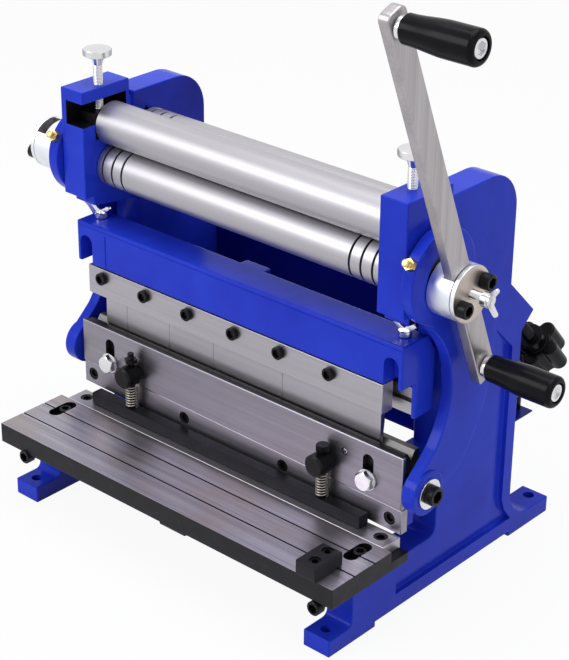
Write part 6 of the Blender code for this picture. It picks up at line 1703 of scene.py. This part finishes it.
def crank_place(reach):
    """Return the (y, z) of a point on the crank bar's centre line."""
    return (SHAFT_Y + CRANK_UP.y * reach, SHAFT_Z + CRANK_UP.z * reach)


def build_crank():
    """Make the crank bar and its two turning grips on their spindles."""
    low, end = crank_slot(1)
    low += GAP
    front = SHAFT_Y - CRANK_WIDTH / 2
    back = SHAFT_Y + CRANK_WIDTH / 2
    bottom = SHAFT_Z - CRANK_LOW
    turn_z = SHAFT_Z + CRANK_TOP - CRANK_CORNER
    outline = ([(front, bottom), (back, bottom)]
               + arc(back - CRANK_CORNER, turn_z, CRANK_CORNER, 0, 90)
               + arc(front + CRANK_CORNER, turn_z, CRANK_CORNER, 90, 180))
    bar = turned_to_crank(cast(prism(outline, "X", low, end), CRANK_EDGE))
    places = (("high", crank_place(GRIP_HIGH_AT)), ("low", crank_place(-GRIP_LOW_AT)))
    holes = [pin("X", place, SPINDLE_RADIUS + GAP, low - CUT_OVER, end + CUT_OVER)
             for _, place in places]
    stand_in("crank_bar", cut(bar, *holes), CRANK_MAT)
    for word, place in places:
        build_grip(word, place, low, end)


def grip_profile(low, high):
    """Return a grip's profile: a swell that eases in from its neck and a round end."""
    body = GRIP_RADIUS - GRIP_SHAVE
    swell = GRIP_LENGTH / 4
    shoulder = swell / 4
    profile = [(low, GRIP_NECK - GAP), (low + GAP, GRIP_NECK)]
    for step in range(GRIP_STEPS + 1):
        share = step / GRIP_STEPS
        ease = share * share * (3 - 2 * share)
        profile.append((low + GRIP_NECK / 6 + 2.2 * swell * share,
                        GRIP_NECK + (body - GRIP_NECK) * ease))
    for step in range(GRIP_STEPS + 1):
        angle = math.pi / 2 * step / GRIP_STEPS
        profile.append((high - shoulder + shoulder * math.sin(angle),
                        body - shoulder + shoulder * math.cos(angle)))
    return profile


def build_grip(word, place, bar_low, bar_high):
    """Make one grip and the spindle that it turns on."""
    collar_low = bar_high + GAP
    collar_high = collar_low + SPINDLE_COLLAR_LENGTH
    low = collar_high + GAP
    high = low + GRIP_LENGTH
    seat = high - GRIP_RECESS_DEPTH
    edge = SPINDLE_COLLAR_LENGTH / 5
    spindle = [(bar_low, SPINDLE_RADIUS), (collar_low, SPINDLE_RADIUS),
               (collar_low, SPINDLE_COLLAR - edge), (collar_low + edge, SPINDLE_COLLAR),
               (collar_high - edge, SPINDLE_COLLAR), (collar_high, SPINDLE_COLLAR - edge),
               (collar_high, SPINDLE_RADIUS), (seat + GAP, SPINDLE_RADIUS)]
    stem = turned("X", place, spindle, COLLAR_SIDES)
    head = cap_screw("X", place, seat + 2 * GAP, SPINDLE_HEAD, SPINDLE_HEAD_THICK)
    stand_in(f"{word}_grip_spindle", joined(stem, head), ZINC_MAT)
    grip = turned("X", place, grip_profile(low, high), RIM_SIDES)
    bore = rod("X", place, GRIP_BORE, low - CUT_OVER, high + CUT_OVER)
    recess = rod("X", place, GRIP_RECESS, seat, high + CUT_OVER)
    stand_in(f"{word}_grip", cut(grip, bore, recess), GRIP_MAT)


# Rear shelf

def build_shelf():
    """Make the thin shelf between the frames, its upright wall and the post on it."""
    low, high = box("rear_shelf")
    top = low.z + SHELF_THICK
    shelf = block(low, (high.x, high.y, top))
    wall = block((low.x, WALL_FRONT, top - SHELF_THICK / 2), (high.x, WALL_BACK, high.z))
    # The shelf and wall take the navy, painted deep shade
    stand_in("rear_shelf", carved(shelf, [wall]), WALL_SHADE_MAT)
    low = top + GAP
    high = low + POST_HEIGHT
    profile = [(low, POST_RADIUS), (high - EDGE, POST_RADIUS), (high, POST_RADIUS - EDGE)]
    add_black("shelf_post", turned("Z", (POST_X, POST_Y), profile, SCREW_SIDES), "frame")


# Studio

def add_object(name, data):
    """Link a new object with its data and return it."""
    obj = bpy.data.objects.new(name, data)
    bpy.context.collection.objects.link(obj)
    return obj


def build_lamps():
    """Hang soft square lamps that look at the middle of the machine."""
    for name, place, size, power in LAMPS:
        light = bpy.data.lights.new(name, "AREA")
        light.shape = "SQUARE"
        light.size = size
        light.energy = power
        lamp = add_object(name, light)
        lamp.location = place
        direction = LAMP_TARGET - Vector(place)
        lamp.rotation_euler = direction.to_track_quat("-Z", "Y").to_euler()


def math_node(tree, operation, one, two):
    """Return the result of a sum on a socket and another socket or a number."""
    node = tree.nodes.new("ShaderNodeMath")
    node.operation = operation
    tree.links.new(one, node.inputs[0])
    if isinstance(two, float):
        node.inputs[1].default_value = two
    else:
        tree.links.new(two, node.inputs[1])
    return node.outputs[0]


def seen_directly(tree):
    """Return a value that is 1 for camera, glossy and transmission rays."""
    path = tree.nodes.new("ShaderNodeLightPath").outputs
    seen = math_node(tree, "MAXIMUM", path["Is Camera Ray"], path["Is Glossy Ray"])
    return math_node(tree, "MAXIMUM", seen, path["Is Transmission Ray"])


def mix_surface(tree, out_kind, share, one, two):
    """End a node tree with a mix of two shader nodes."""
    mix = tree.nodes.new("ShaderNodeMixShader")
    sources = (share, one.outputs[0], two.outputs[0])
    for socket, source in zip(mix.inputs, sources):
        tree.links.new(source, socket)
    tree.links.new(mix.outputs[0], tree.nodes.new(out_kind).inputs["Surface"])


def build_world():
    """Make a white surround that lights the machine at a plain level."""
    world = bpy.data.worlds.new("studio")
    bpy.context.scene.world = world
    world.use_nodes = True
    tree = world.node_tree
    tree.nodes.clear()
    soft = tree.nodes.new("ShaderNodeBackground")
    soft.inputs["Strength"].default_value = WORLD_LIGHT
    white = tree.nodes.new("ShaderNodeBackground")
    for node in (soft, white):
        node.inputs["Color"].default_value = WHITE
    mix_surface(tree, "ShaderNodeOutputWorld", seen_directly(tree), soft, white)


def build_floor():
    """Make the pale floor, which keeps a faint shadow of the machine."""
    mesh = bpy.data.meshes.new("floor")
    mesh.from_pydata([(-FLOOR, -FLOOR, 0.0), (FLOOR, -FLOOR, 0.0), (FLOOR, FLOOR, 0.0),
                      (-FLOOR, FLOOR, 0.0)], [], [(0, 1, 2, 3)])
    mat = bpy.data.materials.new("pale_floor")
    mat.use_nodes = True
    tree = mat.node_tree
    tree.nodes.clear()
    matte = tree.nodes.new("ShaderNodeBsdfDiffuse")
    matte.inputs["Color"].default_value = FLOOR_COLOR
    glow = tree.nodes.new("ShaderNodeEmission")
    share = math_node(tree, "MULTIPLY", seen_directly(tree), FLOOR_GLOW)
    mix_surface(tree, "ShaderNodeOutputMaterial", share, matte, glow)
    mesh.materials.append(mat)
    floor = add_object("floor", mesh)


def build_camera():
    """Place the camera that was solved from the photograph."""
    data = bpy.data.cameras.new("camera")
    data.sensor_width = SENSOR
    data.lens = LENS
    data.shift_x = SHIFT_X
    data.shift_y = SHIFT_Y
    data.clip_end = 2 * FLOOR
    camera = add_object("camera", data)
    ahead = Vector((-math.sin(CAMERA_TURN) * math.cos(CAMERA_PITCH),
                    math.cos(CAMERA_TURN) * math.cos(CAMERA_PITCH),
                    -math.sin(CAMERA_PITCH)))
    right = Vector((math.cos(CAMERA_TURN), math.sin(CAMERA_TURN), 0.0))
    up = right.cross(ahead)
    rolled = math.cos(CAMERA_ROLL) * right + math.sin(CAMERA_ROLL) * up
    rolled_up = -math.sin(CAMERA_ROLL) * right + math.cos(CAMERA_ROLL) * up
    turn = Matrix((rolled, rolled_up, -ahead)).transposed()
    camera.matrix_world = Matrix.Translation(Vector(CAMERA_PLACE)) @ turn.to_4x4()
    bpy.context.scene.camera = camera


def build_all():
    """Build the studio and then the machine, part by part."""
    build_world()
    build_floor()
    build_camera()
    build_lamps()
    build_frames()
    build_rolls()
    build_bearings()
    repaint_hidden()
    build_thumb_screws()
    build_rear_adjusters()
    build_table()
    build_ram()
    build_upper_blade()
    build_apron()
    build_arms()
    build_hold_down()
    build_beam()
    build_brake_tools()
    for side, word in SIDE_NAMES.items():
        build_beam_wing(side, word)
    build_hubs()
    build_crank()
    build_shelf()


build_all()
scene_view = bpy.context.scene.view_settings
scene_view.view_transform = "Standard"
